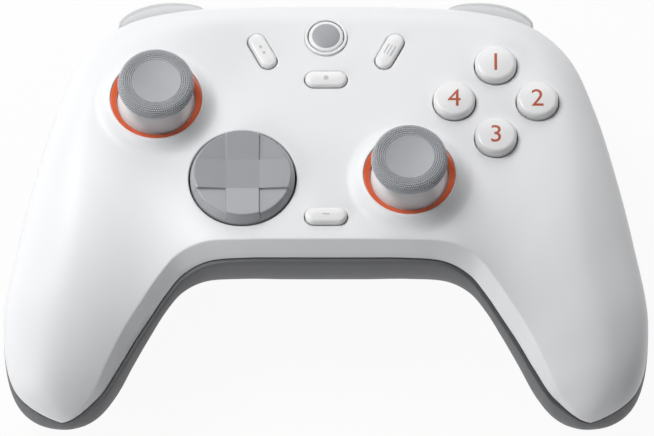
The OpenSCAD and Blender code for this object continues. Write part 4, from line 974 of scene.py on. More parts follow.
def line_opening(shape, opening, top, bottom, rows, levels):
    """Rings of faces that line an opening between its loops on the face and on the inside."""
    made = [top]
    for offset, base, rise in rows:
        xy = opening.loop(offset)
        z = levels[base].over(xy) + rise if base in levels else rise
        made.append(shape.add(lifted(xy, z)))
    shape.stack(made + [bottom])


def edge_rows(rounding):
    """The rounded edge of an opening and the start of its wall."""
    edge = [(offset, "face", rise) for offset, rise in arc((rounding, -rounding), rounding, 90, 180, 6)]
    return edge + [(0, "level", -SLEEVE_START)]


def sleeve_rows(rounding, drop):
    """A rounded edge and the sleeve that guides a button."""
    return edge_rows(rounding) + [
        (0, "level", SLEEVE_EDGE - drop), (SLEEVE_EDGE / 2, "level", -drop), (SLEEVE_WALL, "level", -drop),
        (SLEEVE_WALL, "inside", 0.0)]


def line_collar(shape, opening, top, bottom, face):
    """The raised collar round a stick: rises from the face, holds the ring and opens over the dome."""
    foot = face.over(opening.loop(COLLAR_W))
    profile = [(COLLAR_W - COLLAR_SLOPE * t, COLLAR_TOP * t**2.5) for t in np.linspace(0, 0.93, 13)]
    corner = (COLLAR_W - COLLAR_SLOPE, COLLAR_TOP)
    end = (0.25 * corner[0], COLLAR_TOP)
    profile.extend(bend(profile[-1], corner, end, 5))
    made = [top]
    for offset, rise in profile:
        share = max(0.0, (offset - end[0]) / (COLLAR_W - end[0]))
        made.append(shape.add(lifted(opening.loop(offset), rise + share * foot)))
    rows = [(0.0, COLLAR_TOP - 0.15), (0.0, RING_SEAT)]
    for z in np.linspace(PIVOT_DROP + RING_SEAT, PIVOT_DROP - WALL - 0.6, 7):
        rows.append((math.sqrt(DOME_ROOM**2 - z**2) - opening.radius, z - PIVOT_DROP))
    made.extend(shape.add(lifted(opening.loop(offset), z)) for offset, z in rows)
    shape.stack(made + [bottom])


class CONTROLLER_OT_front_shell(bpy.types.Operator):
    """White front shell with rounded openings and raised stick collars"""

    bl_idname = "controller.front_shell"
    bl_label = "Front shell"

    def execute(self, context):
        rounding = 1000 * context.scene.controller_sizes.hole_round
        keys, pills, home, disc, sticks = face_openings()
        openings = [*keys, *pills, home, disc, *sticks]
        levels = {"face": FaceHeight(0), "inside": FaceHeight(WALL)}
        shape = Shape()
        skin = both_halves(lambda k: Section(k, 0).row(FACE_ROWS))
        outer, tops = pierced(shape, skin, openings, levels["face"], lambda o: o.margin)
        lining = both_halves(lambda k: Section(k, WALL).row(INSIDE_ROWS))
        inner, bottoms = pierced(shape, lining, openings, levels["inside"], lambda o: o.inside_margin)
        for o, top, bottom in zip(openings, tops, bottoms):
            if o in sticks:
                line_collar(shape, o, top, bottom, levels["face"])
            elif o is disc:
                line_opening(shape, o, top, bottom, edge_rows(rounding) + [(0, "inside", 0.0)], levels)
            else:
                drop_z = SLEEVE_DROP if o in keys else PILL_SLEEVE_DROP if o in pills else HOME_SLEEVE_DROP
                line_opening(shape, o, top, bottom, sleeve_rows(rounding, drop_z), levels)
        close_shell(shape, outer, inner, -TIP_DROP, FRONT_EDGE_ROUND)
        shell = made_object("front_shell_skin", shape)
        cut = Shape()
        for left, right in SHOULDERS:
            cut.box((left, LUG_AT[1] - 3, -FAR), (right, FAR, SHOULDER_LIP))
        combine(shell, cut, "DIFFERENCE")
        finish_piece(shell, "case", "shell_white", ["front_shell"], 28.0)
        return {"FINISHED"}


class CONTROLLER_OT_rear_shell(bpy.types.Operator):
    """Grey rear shell with its lip, screw wells, shoulder openings and socket slot"""

    bl_idname = "controller.rear_shell"
    bl_label = "Rear shell"

    def execute(self, context):
        shape = Shape()
        grids = []
        for inset, count in ((0, UNDER_ROWS), (WALL, INSIDE_ROWS)):
            rows = both_halves(lambda k: under_row(k, inset, count))
            grid = np.array(shape.add(rows)).reshape(rows.shape[:2])
            shape.stack(grid.tolist(), closed=False)
            grids.append(grid)
        close_shell(shape, *grids, -TIP_DROP - PART_GAP, REAR_EDGE_ROUND)
        shell = made_object("rear_shell_skin", shape)
        wells, holes = Shape(), Shape()
        for sign in (-1, 1):
            for (x, y), seat, boss, skin in SCREWS:
                wells.rod((sign * x, y), TUBE_R, skin, boss - 0.3)
                holes.rod((sign * x, y), HOLE_R, -FAR, seat)
                holes.rod((sign * x, y), SCREW_R + FIT, seat - PAST, boss + 2 * PAST)
        for left, right in SHOULDERS:
            holes.box((left, SHOULDER_Y, SHOULDER_FLOOR), (right, SHOULDER_Y + FAR, FAR))
        slot = Opening((0, 0), USB_H / 2 + USB_ROOM, (USB_W - USB_H) / 2).loop(0)
        holes.loft([
            np.column_stack((slot[:, 0], np.full(len(slot), y), USB_Z + slot[:, 1]))
            for y in (USB_FROM, USB_TO)])
        combine(shell, wells, "UNION")
        combine(shell, holes, "DIFFERENCE")
        for v in shell.data.vertices:
            v.co.z = max(v.co.z, 0.0)
        finish_piece(shell, "case", "shell_grey", ["rear_shell"], 30.0)
        return {"FINISHED"}


# Sticks


def cap_lines():
    """Profile of a stick cap, and the part of it that carries knurls."""
    under, middle = CAP_TOP - CAP_RIM_H, CAP_R - CAP_BULGE
    stem = STEM_R + FIT
    bulge = arc((middle, CAP_TOP - CAP_RIM_H / 2), (CAP_BULGE, CAP_RIM_H / 2), -90, 90, 25)
    dish = [(DISH_R * t, CAP_TOP - DISH_DROP - DISH_DEPTH * (1 - t**2)) for t in np.linspace(1, 0, 14)]
    hollow = [(0, under + STEM_BITE), (stem, under + STEM_BITE), (stem, under + CAP_HOLLOW),
              (STEM_R + CAP_HOLLOW_W, under + CAP_HOLLOW)]
    inwards = DISH_R + KNURL_MARGIN - middle
    shoulder = [(middle + inwards * t, CAP_TOP - DISH_DROP * t**1.5) for t in (0.35, 0.7, 1.0)]
    return hollow + bulge + dish, bulge[2:] + shoulder


def dome_line():
    """Profile of the hollow dome on a stick's stem."""
    pivot, inner_r = (0, -PIVOT_DROP), DOME_R - DOME_WALL
    top, low = CAP_TOP - CAP_RIM_H + STEM_BITE, -PIVOT_DROP - SOCKET_DROP
    neck, socket = math.degrees(math.acos(STEM_R / DOME_R)), math.degrees(math.acos(SOCKET_R / inner_r))
    outside = arc(pivot, DOME_R, neck, 90 - DOME_SKIRT, 30)
    inside = arc(pivot, inner_r, 90 - DOME_SKIRT, socket, 20)
    return [(0, top), (STEM_R, top)] + outside + inside + [(SOCKET_R, low), (0, low)]


def ring_line():
    """Closed profile of the ring round a stick."""
    lip, rise = RING_BORE + RING_LIP, RING_TOP - RING_LIP_Z
    slope = [(lip + (RING_R - 0.2 - lip) * t, RING_LIP_Z + rise * t**0.85) for t in np.linspace(0.1, 1, 8)]
    return [
        (RING_BORE, RING_LIP_Z - 0.35), (RING_BORE + 0.05, RING_LIP_Z - 0.15), (lip, RING_LIP_Z), *slope,
        (RING_R - 0.06, RING_TOP - 0.04), (RING_R, RING_TOP - 0.15), (RING_R, RING_SEAT),
        (RING_BORE + RING_FOOT, RING_SEAT)]


def even_steps(path, count):
    """Points at even distances along a path."""
    path = np.array(path)
    gone = np.concatenate(([0], np.cumsum(np.linalg.norm(np.diff(path, axis=0), axis=1))))
    at = np.linspace(0, gone[-1], count)
    return np.column_stack([np.interp(at, gone, path[:, i]) for i in (0, 1)])


def knurl_tree():
    """Nodes that stand a small blunt pyramid on each point of a band and join them to the cap."""
    g = Growth("knurls", Band="Geometry", Cap="Object", Width="Float", Height="Float", Finish="Material")
    width, height = g.given("Width"), g.given("Height")
    pyramid = g.node(
        "GeometryNodeMeshCone", "Mesh", {"fill_type": "NGON"}, Vertices=4, Radius__Bottom=width,
        Radius__Top=width * 0.3, Depth=height * 1.35)
    # Marks the feet of each pyramid for painted shade and leaves its top light.
    level = g.node("ShaderNodeSeparateXYZ", "Z", Vector=g.node("GeometryNodeInputPosition"))
    shaded = g.node(
        "GeometryNodeStoreNamedAttribute", 0, {"data_type": "FLOAT", "domain": "POINT"}, Geometry=pyramid,
        Name="valley", Value=g.math("LESS_THAN", level, 0.00005))
    down = g.node("ShaderNodeCombineXYZ", Z=height * -0.35)
    sunk = g.node("GeometryNodeTransform", Geometry=shaded, Translation=down)
    normal = g.node("GeometryNodeInputNormal")
    facing = g.node("FunctionNodeAlignRotationToVector", 0, {"axis": "Z"}, Vector=normal)
    knurls = g.node("GeometryNodeInstanceOnPoints", Points=g.given("Band"), Instance=sunk, Rotation=facing)
    whole = g.node("GeometryNodeJoinGeometry", Geometry=knurls)
    cap = g.node("GeometryNodeObjectInfo", "Geometry", Object=g.given("Cap"))
    g.put(whole.socket.node.inputs[0], cap)
    return g.ended(whole)


def knurl_band(place, path, around):
    """Staggered points over a cap's rim, as a band of faces that gives them their normals."""
    shape = Shape()
    shape.stack([shape.add(circle(place, r, z, around, 0.5 * (i % 2))) for i, (r, z) in enumerate(path)])
    return shape


class CONTROLLER_OT_sticks(bpy.types.Operator):
    """Thumbsticks: knurled caps, glossy domes and the rings round them"""

    bl_idname = "controller.sticks"
    bl_label = "Sticks"

    def execute(self, context):
        tree = knurl_tree()
        for side, place in STICKS.items():
            self.cap(context.scene.controller_sizes, tree, side, place)
            shape = Shape()
            shape.lathe(dome_line(), place, FINE_ROUND)
            dome = made_object(f"{side}_stick_dome_skin", shape)
            finish_piece(dome, f"{side}_stick_top", "dome_pale", [f"{side}_stick_dome"], 35.0)
            shape = Shape()
            shape.ring(ring_line(), place, FINE_ROUND)
            ring = made_object(f"{side}_stick_ring_skin", shape)
            finish_piece(ring, "case", "ring_orange", [f"{side}_stick_ring"])
        bpy.data.node_groups.remove(tree)
        return {"FINISHED"}

    def cap(self, sizes, tree, side, place):
        cap_line, knurled = cap_lines()
        shape = Shape()
        shape.lathe(cap_line, place, FINE_ROUND)
        plain = made_object(f"{side}_cap_plain", shape)
        smoothed(plain.data, 35)
        # Painted shade on the plain cap: full outside the dish, where the knurls stand, and DISH_SHADE of it
        # on the dish.
        painted_shades = plain.data.attributes.new("valley", "FLOAT", "POINT")
        for (x, y, _), shade in zip(on_face([v.co for v in plain.data.vertices]), painted_shades.data):
            knurled_there = math.hypot(x - place[0], y - place[1]) > DISH_R + DISH_EDGE
            shade.value = 1.0 if knurled_there else DISH_SHADE
        band = knurl_band(place, even_steps(knurled, sizes.knurl_rows), sizes.knurl_around)
        cap = made_object(f"{side}_stick_cap_knurled", band)
        rubber = finish("cap_rubber")
        grow(cap, tree, Cap=plain, Width=KNURL_W / 1000, Height=sizes.knurl_height, Finish=rubber)
        drop(plain)
        finish_piece(cap, f"{side}_stick_top", "cap_rubber", [f"{side}_stick_cap"], 35.0)


# Direction disc


def disc_height(xy):
    """Height of the disc's top: a low middle, four sloped arms and four sunk corners."""
    half, slope = DISC_ARM / 2, math.tan(math.radians(DISC_SLOPE))
    low = DISC_TOP - slope * (DISC_TOP_R - half) + DISC_RISE
    out = np.abs(xy) - half
    off_arm = np.clip(out / (2 * DISC_RAMP) + 0.5, 0, 1).min(axis=-1)
    far = np.maximum(0, out).sum(axis=-1)
    arm = low + slope * far
    corner = low - DISC_STEP + slope * far / math.sqrt(2)
    return arm + (corner - arm) * off_arm


def disc_plan(r):
    """Directions round the disc, and the points and faces of its top, split where the facets meet."""
    lines = [s * (DISC_ARM / 2 + o) for s in (-1, 1) for o in (-DISC_RAMP, DISC_RAMP)]
    angles = set(np.linspace(0, 2 * math.pi, 144, endpoint=False).round(9))
    for d in lines:
        a, b = math.acos(d / r), math.asin(d / r)
        angles.update(round(t % (2 * math.pi), 9) for t in (a, -a, b, math.pi - b))
    angles = np.array(sorted(angles))
    angles = angles[np.concatenate(([True], np.diff(angles) > 1e-6))]
    around = np.column_stack((np.cos(angles), np.sin(angles)))
    flat = [Vector(p) for p in r * around]
    edges = [(i, (i + 1) % len(flat)) for i in range(len(flat))]
    for d in lines:
        reach = math.sqrt(r * r - d * d)
        for ends in (((d, -reach), (d, reach)), ((-reach, d), (reach, d))):
            edges.append((len(flat), len(flat) + 1))
            flat.extend(Vector(p) for p in ends)
    made = delaunay_2d_cdt(flat, edges, [], 0, 1e-5)
    return around, np.array([tuple(v) for v in made[0]]), made[2]


class CONTROLLER_OT_disc(bpy.types.Operator):
    """Direction disc with flat facets, a chamfered rim and a skirt under the face"""

    bl_idname = "controller.disc"
    bl_label = "Direction disc"

    def execute(self, context):
        r = DISC_TOP_R - DISC_CHAMFER
        around, top_xy, facets = disc_plan(r)
        shape = Shape()
        top = shape.add(lifted(top_xy + DISC_AT, disc_height(top_xy)))
        shape.faces.extend(tuple(top[i] for i in f) for f in facets)
        rim_z = disc_height(r * around)
        bore = DISC_R - DISC_WALL
        profile = [
            (r, rim_z), (DISC_TOP_R - 0.06, rim_z - 0.1), (DISC_TOP_R + 0.06, rim_z - 0.32),
            (DISC_R - 0.12, 0.35), (DISC_R, -0.1), (DISC_R, DISC_FLANGE_TOP),
            (DISC_FLANGE_R, DISC_FLANGE_TOP), (DISC_FLANGE_R, DISC_FLANGE_LOW), (bore, DISC_FLANGE_LOW),
            (bore, DISC_UNDER)]
        rows = [shape.add(lifted(radius * around + DISC_AT, z)) for radius, z in profile]
        shape.stack(rows)
        shape.fan(rows[-1], shape.add([(*DISC_AT, DISC_UNDER)])[0])
        for x, y in ((1, 0), (-1, 0), (0, 1), (0, -1)):
            place = (DISC_AT[0] + PLUNGER_AT * x, DISC_AT[1] + PLUNGER_AT * y)
            shape.rod(place, PLUNGER_R, PLUNGER_LOW, DISC_ROOT, COARSE_ROUND)
        hub = [(HUB_BORE, HUB_LOW), (HUB_R, HUB_LOW), (HUB_R, DISC_ROOT), (HUB_BORE, DISC_ROOT)]
        shape.ring(hub, DISC_AT, 48)
        disc = made_object("dpad_disc_skin", shape)
        finish_piece(disc, "dpad", "dpad_grey", ["dpad_disc"], 24.0)
        level = Vector(seated([(0, 0, 0.9)])[0])
        up = Vector((0, SIN_TILT, COS_TILT))
        for f in disc.data.polygons:
            f.use_smooth = (f.center - level).dot(up) <= 0 or f.normal.dot(up) <= 0.9
        return {"FINISHED"}


# Buttons


def key_line(r, top, under, edge, crown):
    """Profile of a round button with a flange, a soft edge and a crowned top."""
    flange = [(0, under), (r + FLANGE_W, under), (r + FLANGE_W, under + FLANGE_H), (r, under + FLANGE_H)]
    fillet = arc((r - edge, top - crown - edge), edge, 0, 90, 12)
    return flange + fillet + [((r - edge) * t, top - crown * t * t) for t in np.linspace(1, 0, 9)[1:]]


def inlay(shape, outline, place, turn):
    """A thin raised mark on a small button, from the points of its outline."""
    c, s = math.cos(math.radians(turn)), math.sin(math.radians(turn))
    xy = outline @ np.array(((c, s), (-s, c))) + place
    shape.loft([lifted(xy, PILL_TOP + PILL_MARK_PROUD), lifted(xy, PILL_TOP - MARK_DEEP)])


def rounded_bar(length, width, steps):
    end = np.array(arc(((length - width) / 2, 0), width / 2, -90, 90, steps))
    return np.vstack((end, -end))


def digit(name, text, place, size):
    """A number that lies on a crowned face button as a thin inlay."""
    letters = bpy.data.curves.new(name, "FONT")
    letters.body = text
    letters.extrude = 0.5
    letters.resolution_u = 5
    sign = linked(name, letters)
    mesh = evaluated_mesh(sign)
    bpy.data.objects.remove(sign)
    bpy.data.curves.remove(letters)
    b = bmesh.new()
    b.from_mesh(mesh)
    bmesh.ops.remove_doubles(b, verts=b.verts, dist=1e-5)
    bmesh.ops.triangulate(b, faces=b.faces)
    bmesh.ops.subdivide_edges(b, edges=[e for e in b.edges if e.calc_length() > 0.12], cuts=3)
    bmesh.ops.triangulate(b, faces=b.faces)
    p = np.array([v.co for v in b.verts])
    low, high = p[:, :2].min(0), p[:, :2].max(0)
    xy = (p[:, :2] - (low + high) / 2) * size / (high[1] - low[1])
    top = KEY_TOP - KEY_CROWN * (xy**2).sum(1) / (KEY_R - KEY_EDGE) ** 2
    rise = np.where(p[:, 2] > 0, MARK_PROUD, -MARK_DEEP)
    for v, co in zip(b.verts, seated(lifted(xy + place, top + rise))):
        v.co = co
    bmesh.ops.recalc_face_normals(b, faces=b.faces)
    b.to_mesh(mesh)
    b.free()
    return linked(name, mesh)


class CONTROLLER_OT_buttons(bpy.types.Operator):
    """Face buttons with numbers, small buttons with plain marks, and the home button in its light ring"""

    bl_idname = "controller.buttons"
    bl_label = "Buttons"

    def execute(self, context):
        size = 1000 * context.scene.controller_sizes.digit_height
        line = key_line(KEY_R, KEY_TOP, -SLEEVE_DROP - FLANGE_GAP - FLANGE_H, KEY_EDGE, KEY_CROWN)
        for name, (x, y, text) in KEYS.items():
            place = key_place(x, y)
            shape = Shape()
            shape.lathe(line, place)
            finish_piece(made_object(f"{name}_key", shape), name, "button_white", [name])
            mark = digit(f"{name}_number", text, place, size)
            finish_piece(mark, name, "ring_orange", material="mark_orange")
        under = -PILL_SLEEVE_DROP - FLANGE_GAP - FLANGE_H
        self.small_buttons(under)
        self.home_button(under)
        self.home_ring()
        return {"FINISHED"}

    def small_buttons(self, under):
        rows = [(FLANGE_W, under), (FLANGE_W, under + FLANGE_H), (0, under + FLANGE_H)]
        rows += arc((-PILL_EDGE, PILL_TOP - PILL_CROWN - PILL_EDGE), PILL_EDGE, 0, 90, 10)
        inwards = PILL_W / 2 - PILL_EDGE - 0.05
        for t in (0.3, 0.6, 0.85, 1.0):
            rows.append((-PILL_EDGE - inwards * t, PILL_TOP - PILL_CROWN * (1 - t) ** 2))
        for name, (x, y, turn) in PILLS.items():
            pill = Opening((x, y), PILL_W / 2, PILL_REACH, turn)
            shape = Shape()
            shape.loft([lifted(pill.loop(offset), z) for offset, z in rows])
            shape.rod((x, y), PEG_R, -PEG_DROP, under + PEG_BITE, COARSE_ROUND)
            finish_piece(made_object(f"{name}_key", shape), name, "button_white", [name])
            marks = Shape()
            *bar, shifts = MARKS[name]
            for shift in shifts:
                inlay(marks, rounded_bar(*bar) + shift, (x, y), turn)
            finish_piece(made_object(f"{name}_mark", marks), name, "button_white", material="mark_pale")

    def home_button(self, under):
        shape = Shape()
        shape.lathe(key_line(HOME_R, HOME_TOP, under, HOME_EDGE, HOME_CROWN), HOME_AT)
        shape.rod(HOME_AT, PEG_R, -PEG_DROP, under + PEG_BITE, COARSE_ROUND)
        finish_piece(made_object("home_button_key", shape), "home_button", "button_white", ["home_button"])
        low = HOME_TOP - HOME_DISC_DEEP
        line = [(0, low), (HOME_DISC_R, low)]
        for r in (HOME_DISC_R, 3.25, 2.6, 1.9, 1.2, 0.5, 0):
            proud = MARK_PROUD / 2 if r == HOME_DISC_R else MARK_PROUD
            line.append((r, HOME_TOP - HOME_CROWN * (r / (HOME_R - HOME_EDGE)) ** 2 + proud))
        disc = Shape()
        disc.lathe(line, HOME_AT)
        mark = made_object("home_button_disc", disc)
        finish_piece(mark, "home_button", "button_white", material="mark_grey")

    def home_ring(self):
        inside, outside, edge = HOME_RING_R - HOME_RING_W, HOME_RING_R, HOME_RING_EDGE
        low, flange = FLANGE_GAP - PILL_SLEEVE_DROP, HOME_RING_R + HOME_RING_FLANGE
        line = [(inside, low), (flange, low), (flange, -HOME_SLEEVE_DROP), (outside, -HOME_SLEEVE_DROP)]
        line += arc((outside - edge, HOME_RING_TOP - edge), edge, 0, 90, 4)
        line += arc((inside + edge, HOME_RING_TOP - edge), edge, 90, 180, 4)
        ring = Shape()
        ring.ring(line, HOME_AT)
        finish_piece(made_object("home_light_ring_skin", ring), "case", "light_ring", ["home_light_ring"])


# Shoulder keys


def bumper_shape():
    """A rounded bar along the parting line, which swells towards its middle."""
    low, length = BUMPER_H / 2, BUMPER_TO - BUMPER_FROM
    a = np.radians(np.linspace(-90, 90, 41))
    up = low * np.sign(np.sin(a)) * np.abs(np.sin(a)) ** 0.8
    up = np.concatenate(((low, -low), up))
    rings = []
    for share in (1 - np.cos(np.linspace(0, math.pi, 61))) / 2:
        k = BUMPER_FROM + length * share
        proud = BUMPER_END + (BUMPER_PROUD - BUMPER_END) * max(0.0, math.sin(math.pi * share)) ** 0.5
        out = BUMPER_ROOT + (proud - BUMPER_ROOT) * np.maximum(0, np.cos(a)) ** 0.6
        out = np.concatenate(((-BUMPER_BACK, -BUMPER_BACK), out))
        rings.append(lifted(rim(k) + np.outer(out, rim_normal(k)), -BUMPER_DROP - low + up))
    shape = Shape()
    shape.loft(rings)
    return shape


def lug_shapes():
    """The hub, web and foot that hang a bumper, and the bore of the hub."""
    x, y = LUG_AT
    low, high = LUG_Z
    end = SHOULDER_IN + LUG_END
    hub, web, foot, bore = Shape(), Shape(), Shape(), Shape()
    hub.rod(LUG_AT, LUG_R, low, high)
    web.box((x, y - LUG_HALF, low), (end, y + LUG_HALF, high))
    foot.box((SHOULDER_IN + LUG_FOOT, y - LUG_HALF, low), (end, y + LUG_FOOT_Y, high))
    bore.rod(LUG_AT, LUG_BORE, low - PAST, high + PAST)
    return [hub, web, foot], bore


def trigger_shape():
    """A curved blade that hangs under the bumper and thins towards its tip."""
    top = -BUMPER_DROP - BUMPER_H - TRIGGER_GAP
    t = np.linspace(0, 1, 25)
    z = top + (-TRIGGER_DROP - top) * t**1.25
    back_z = z - TRIGGER_WALL * (0.15 + 0.75 * (1 - t) ** 2)
    rings = []
    for share in np.linspace(0, 1, 49):
        x, start = rim(BUMPER_FROM + (BUMPER_TO - BUMPER_FROM) * share)
        reach = TRIGGER_REACH - TRIGGER_FALL * (2 * share - 1) ** 4
        y = start + TRIGGER_START + (reach - TRIGGER_START) * (1 - (1 - t) ** 2.2)
        back_y = y - TRIGGER_WALL * (0.75 + 0.5 * (1 - t))
        ring_y = np.concatenate((y, back_y[::-1]))
        rings.append(np.column_stack((np.full(len(ring_y), x), ring_y, np.concatenate((z, back_z[::-1])))))
    shape = Shape()
    shape.loft(rings)
    return shape


def sided(shape, side):
    return shape.mirrored() if side == "left" else shape


class CONTROLLER_OT_shoulder_keys(bpy.types.Operator):
    """Glossy bumpers and curved triggers with softened edges"""

    bl_idname = "controller.shoulder_keys"
    bl_label = "Bumpers and triggers"

    def execute(self, context):
        lugs, bore = lug_shapes()
        for side in ("right", "left"):
            bumper = made_object(f"{side}_bumper_key", sided(bumper_shape(), side))
            for lug in lugs:
                combine(bumper, sided(lug, side), "UNION")
            combine(bumper, sided(bore, side), "DIFFERENCE")
            finish_piece(bumper, f"{side}_bumper", "bumper_grey", [f"{side}_bumper"])
            trigger = made_object(f"{side}_trigger_blade", sided(trigger_shape(), side))
            soften = trigger.modifiers.new("soften", "BEVEL")
            soften.width = TRIGGER_SOFT / 1000
            soften.segments = 3
            soften.limit_method = "ANGLE"
            soften.angle_limit = math.radians(50)
            set_mesh(trigger, evaluated_mesh(trigger))
            finish_piece(trigger, f"{side}_trigger", "trigger_grey", [f"{side}_trigger"])
        return {"FINISHED"}


# Screws


def screw_tree():
    """Nodes that put one screw on each point."""
    g = Growth("screws", Places="Geometry", Screw="Object", Lean="Vector", Finish="Material")
    screw = g.node("GeometryNodeObjectInfo", "Geometry", Object=g.given("Screw"))
    return g.ended(g.node(
        "GeometryNodeInstanceOnPoints", Points=g.given("Places"), Instance=screw, Rotation=g.given("Lean")))


def screw_object():
    """A screw about the origin, head down, with a cross recess."""
    line = [(0, -HEAD_H), (HEAD_R - 0.7, -HEAD_H), (HEAD_R - 0.2, 0.25 - HEAD_H), (HEAD_R, 0.6 - HEAD_H),
            (HEAD_R, 0), (SCREW_R, 0)]
    core = SCREW_R - THREAD_DEEP
    for i in range(THREAD_TURNS):
        z = THREAD_START + i * THREAD_PITCH
        line += [(SCREW_R, z), (core, z + 0.5), (core, z + 0.7), (SCREW_R, z + 1.2)]
    tip = THREAD_START + THREAD_TURNS * THREAD_PITCH
    line += [(0.4, tip + 0.4), (0, tip + 0.5)]
    shape = Shape()
    shape.lathe(line, count=40)
    screw = made_object("screw", shape, in_metres)
    for x, y in ((RECESS_L, RECESS_W), (RECESS_W, RECESS_L)):
        cross = Shape()
        cross.box((-x, -y, -HEAD_H - PAST), (x, y, RECESS_DEEP - HEAD_H))
        combine(screw, cross, "DIFFERENCE", in_metres)
    smoothed(screw.data, 30)
    return screw


class CONTROLLER_OT_screws(bpy.types.Operator):
    """Case screws with cross recesses, deep in their wells"""

    bl_idname = "controller.screws"
    bl_label = "Case screws"

    def execute(self, context):
        places = [(s * x, y, seat) for (x, y), seat, _, _ in SCREWS for s in (-1, 1)]
        mesh = bpy.data.meshes.new("case_screw_set")
        mesh.from_pydata(seated(places).tolist(), [], [])
        group = linked("case_screw_set", mesh)
        screw, tree = screw_object(), screw_tree()
        grow(group, tree, Screw=screw, Lean=(-TILT, 0.0, 0.0), Finish=finish("steel"))
        drop(screw)
        bpy.data.node_groups.remove(tree)
        finish_piece(group, "case", "steel", ["case_screws"], 30.0)
        return {"FINISHED"}


class CONTROLLER_OT_inner_parts(bpy.types.Operator):
    """Materials of the parts inside the casing, which keep their own shapes"""

    bl_idname = "controller.inner_parts"
    bl_label = "Inner parts"

    def execute(self, context):
        slots = {
            "circuit_green": ("button_board", "main_board"),
            "silicone": ("dpad_pad", "face_button_pad"),
            "black_plastic": ("button_switches", "board_link", "bumper_switches", "trigger_sensors"),
            "inner_plastic": ("inner_frame", "left_stick_module", "right_stick_module"),
            "pale_plastic": (
                "dpad_pivot", "dpad_post", "left_stick_arm", "right_stick_arm", "left_stick_arch",
                "right_stick_arch"),
            "trigger_grey": ("left_trigger_carrier", "right_trigger_carrier"),
            "cell_foil": ("battery_cell",),
        }
        by_node = {n: s for s, names in slots.items() for n in names}
        for name, node in frame["nodes"].items():
            if node.hide_render:
                continue
            node.data.materials.clear()
            node.data.materials.append(finish(by_node.get(name, "steel")))
        return {"FINISHED"}


# Stage


# Place, width in metres and power in watts of each lamp
LAMPS = {
    "key": ((-0.35, 0.30, 0.65), 0.36, 4.0),
    "top": ((0.0, 0.75, 0.45), 0.6, 2.6),
    "front left": ((-0.6, -0.5, 0.3), 0.5, 3.3),
    "right": ((0.8, 0.1, 0.35), 0.6, 1.5),
}
LAMP_TARGET = Vector((0, 0, 0.03))
FLOOR_HALF, FLOOR_Z, FLOOR_GLOW = 3.0, -0.0003, 0.94
# Width of the picture at the controller, and how far the picture's middle lies from the face's
VIEW_W, VIEW_RIGHT, VIEW_DOWN = 0.15696, 0.00024, 0.01872
VIEW_HIGH, VIEW_FROM, SENSOR = math.radians(67.5), 5.0, 36.0


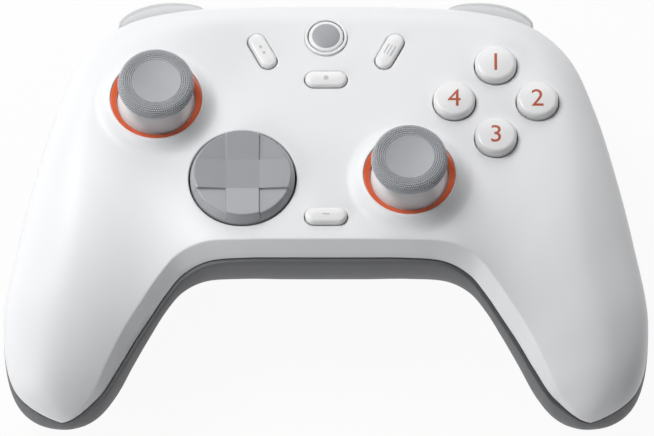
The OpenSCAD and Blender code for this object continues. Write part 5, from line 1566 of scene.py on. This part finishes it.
class CONTROLLER_OT_stage(bpy.types.Operator):
    """Pale floor, soft studio light and the camera"""

    bl_idname = "controller.stage"
    bl_label = "Stage"

    def execute(self, context):
        context.scene.view_settings.view_transform = "Standard"
        self.floor()
        self.lamps()
        self.world(context.scene)
        self.camera(context.scene)
        return {"FINISHED"}

    def floor(self):
        """A white floor that keeps the shadow, and can be seen through from below."""
        mesh = bpy.data.meshes.new("floor")
        corners = [(x * FLOOR_HALF, y * FLOOR_HALF, FLOOR_Z) for x, y in ((-1, -1), (1, -1), (1, 1), (-1, 1))]
        mesh.from_pydata(corners, [], [(0, 1, 2, 3)])
        floor = linked("floor", mesh)
        p = Paint("floor_white")
        seen = p.node("ShaderNodeLightPath", "Is Camera Ray")
        mirrored = p.node("ShaderNodeLightPath", "Is Glossy Ray")
        tone = p.mix(p.noise(3.0), (0.8, 0.8, 0.8), (0.76, 0.76, 0.76))
        cloth = p.node("ShaderNodeBsdfDiffuse", Color=tone)
        bright = p.node("ShaderNodeEmission", Color=(1.0, 1.0, 1.0), Strength=1.0)
        top = p.in_order("ShaderNodeMixShader", p.math("MAXIMUM", seen, mirrored) * FLOOR_GLOW, cloth, bright)
        under = p.node("ShaderNodeNewGeometry", "Backfacing")
        clear = p.node("ShaderNodeBsdfTransparent")
        mesh.materials.append(p.surface(p.in_order("ShaderNodeMixShader", under, top, clear)))

    def lamps(self):
        for name, (place, width, power) in LAMPS.items():
            light = bpy.data.lights.new(name, "AREA")
            light.shape = "DISK"
            light.size = width
            light.energy = power
            lamp = linked(name, light)
            lamp.location = place
            lamp.rotation_mode = "QUATERNION"
            lamp.rotation_quaternion = (LAMP_TARGET - Vector(place)).to_track_quat("-Z", "Y")

    def world(self, scene):
        """White behind the floor, and a faint light from all sides."""
        world = bpy.data.worlds.new("studio")
        world.use_nodes = True
        w = Nodes(world.node_tree)
        w.tree.nodes.clear()
        seen = w.node("ShaderNodeLightPath", "Is Camera Ray")
        dim = w.node("ShaderNodeBackground", Color=(0.9, 0.93, 1.0), Strength=0.03)
        white = w.node("ShaderNodeBackground", Color=(1.0, 1.0, 1.0), Strength=1.0)
        both = w.in_order("ShaderNodeMixShader", seen, dim, white)
        w.put(w.tree.nodes.new("ShaderNodeOutputWorld").inputs["Surface"], both)
        scene.world = world

    def camera(self, scene):
        """Looks down on the face from the front, through a long lens. The picture is 654 by 436."""
        back = Vector((0, -math.cos(VIEW_HIGH), math.sin(VIEW_HIGH)))
        up = Vector((0, math.sin(VIEW_HIGH), math.cos(VIEW_HIGH)))
        middle = Vector((VIEW_RIGHT, SEAT_Y / 1000, SEAT_Z / 1000)) - VIEW_DOWN * up
        lens = bpy.data.cameras.new("camera")
        lens.sensor_width = SENSOR
        lens.lens = SENSOR * VIEW_FROM / VIEW_W
        lens.clip_end = 10 * VIEW_FROM
        camera = linked("camera", lens)
        camera.location = middle + back * VIEW_FROM
        camera.rotation_mode = "QUATERNION"
        camera.rotation_quaternion = (-back).to_track_quat("-Z", "Y")
        scene.camera = camera


class CONTROLLER_PT_panel(bpy.types.Panel):
    """Lists the steps that build the controller"""

    bl_label = "Controller"
    bl_idname = "CONTROLLER_PT_panel"
    bl_space_type = "VIEW_3D"
    bl_region_type = "UI"
    bl_category = "Controller"

    def draw(self, context):
        column = self.layout.column()
        for group in (context.scene.controller_sizes, context.scene.controller_colours):
            for name in group.__annotations__:
                column.prop(group, name)
        for step in STEPS:
            column.operator(step.bl_idname)


STEPS = (
    CONTROLLER_OT_front_shell,
    CONTROLLER_OT_rear_shell,
    CONTROLLER_OT_sticks,
    CONTROLLER_OT_disc,
    CONTROLLER_OT_buttons,
    CONTROLLER_OT_shoulder_keys,
    CONTROLLER_OT_screws,
    CONTROLLER_OT_inner_parts,
    CONTROLLER_OT_stage,
)
CLASSES = (ControllerSizes, ControllerColours, *STEPS, CONTROLLER_PT_panel)


def register():
    for c in CLASSES:
        bpy.utils.register_class(c)
    bpy.types.Scene.controller_sizes = bpy.props.PointerProperty(type=ControllerSizes)
    bpy.types.Scene.controller_colours = bpy.props.PointerProperty(type=ControllerColours)


def unregister():
    del bpy.types.Scene.controller_colours
    del bpy.types.Scene.controller_sizes
    for c in reversed(CLASSES):
        bpy.utils.unregister_class(c)


def main():
    register()
    bpy.ops.controller.front_shell()
    bpy.ops.controller.rear_shell()
    bpy.ops.controller.sticks()
    bpy.ops.controller.disc()
    bpy.ops.controller.buttons()
    bpy.ops.controller.shoulder_keys()
    bpy.ops.controller.screws()
    bpy.ops.controller.inner_parts()
    bpy.ops.controller.stage()


if __name__ == "__main__":
    main()
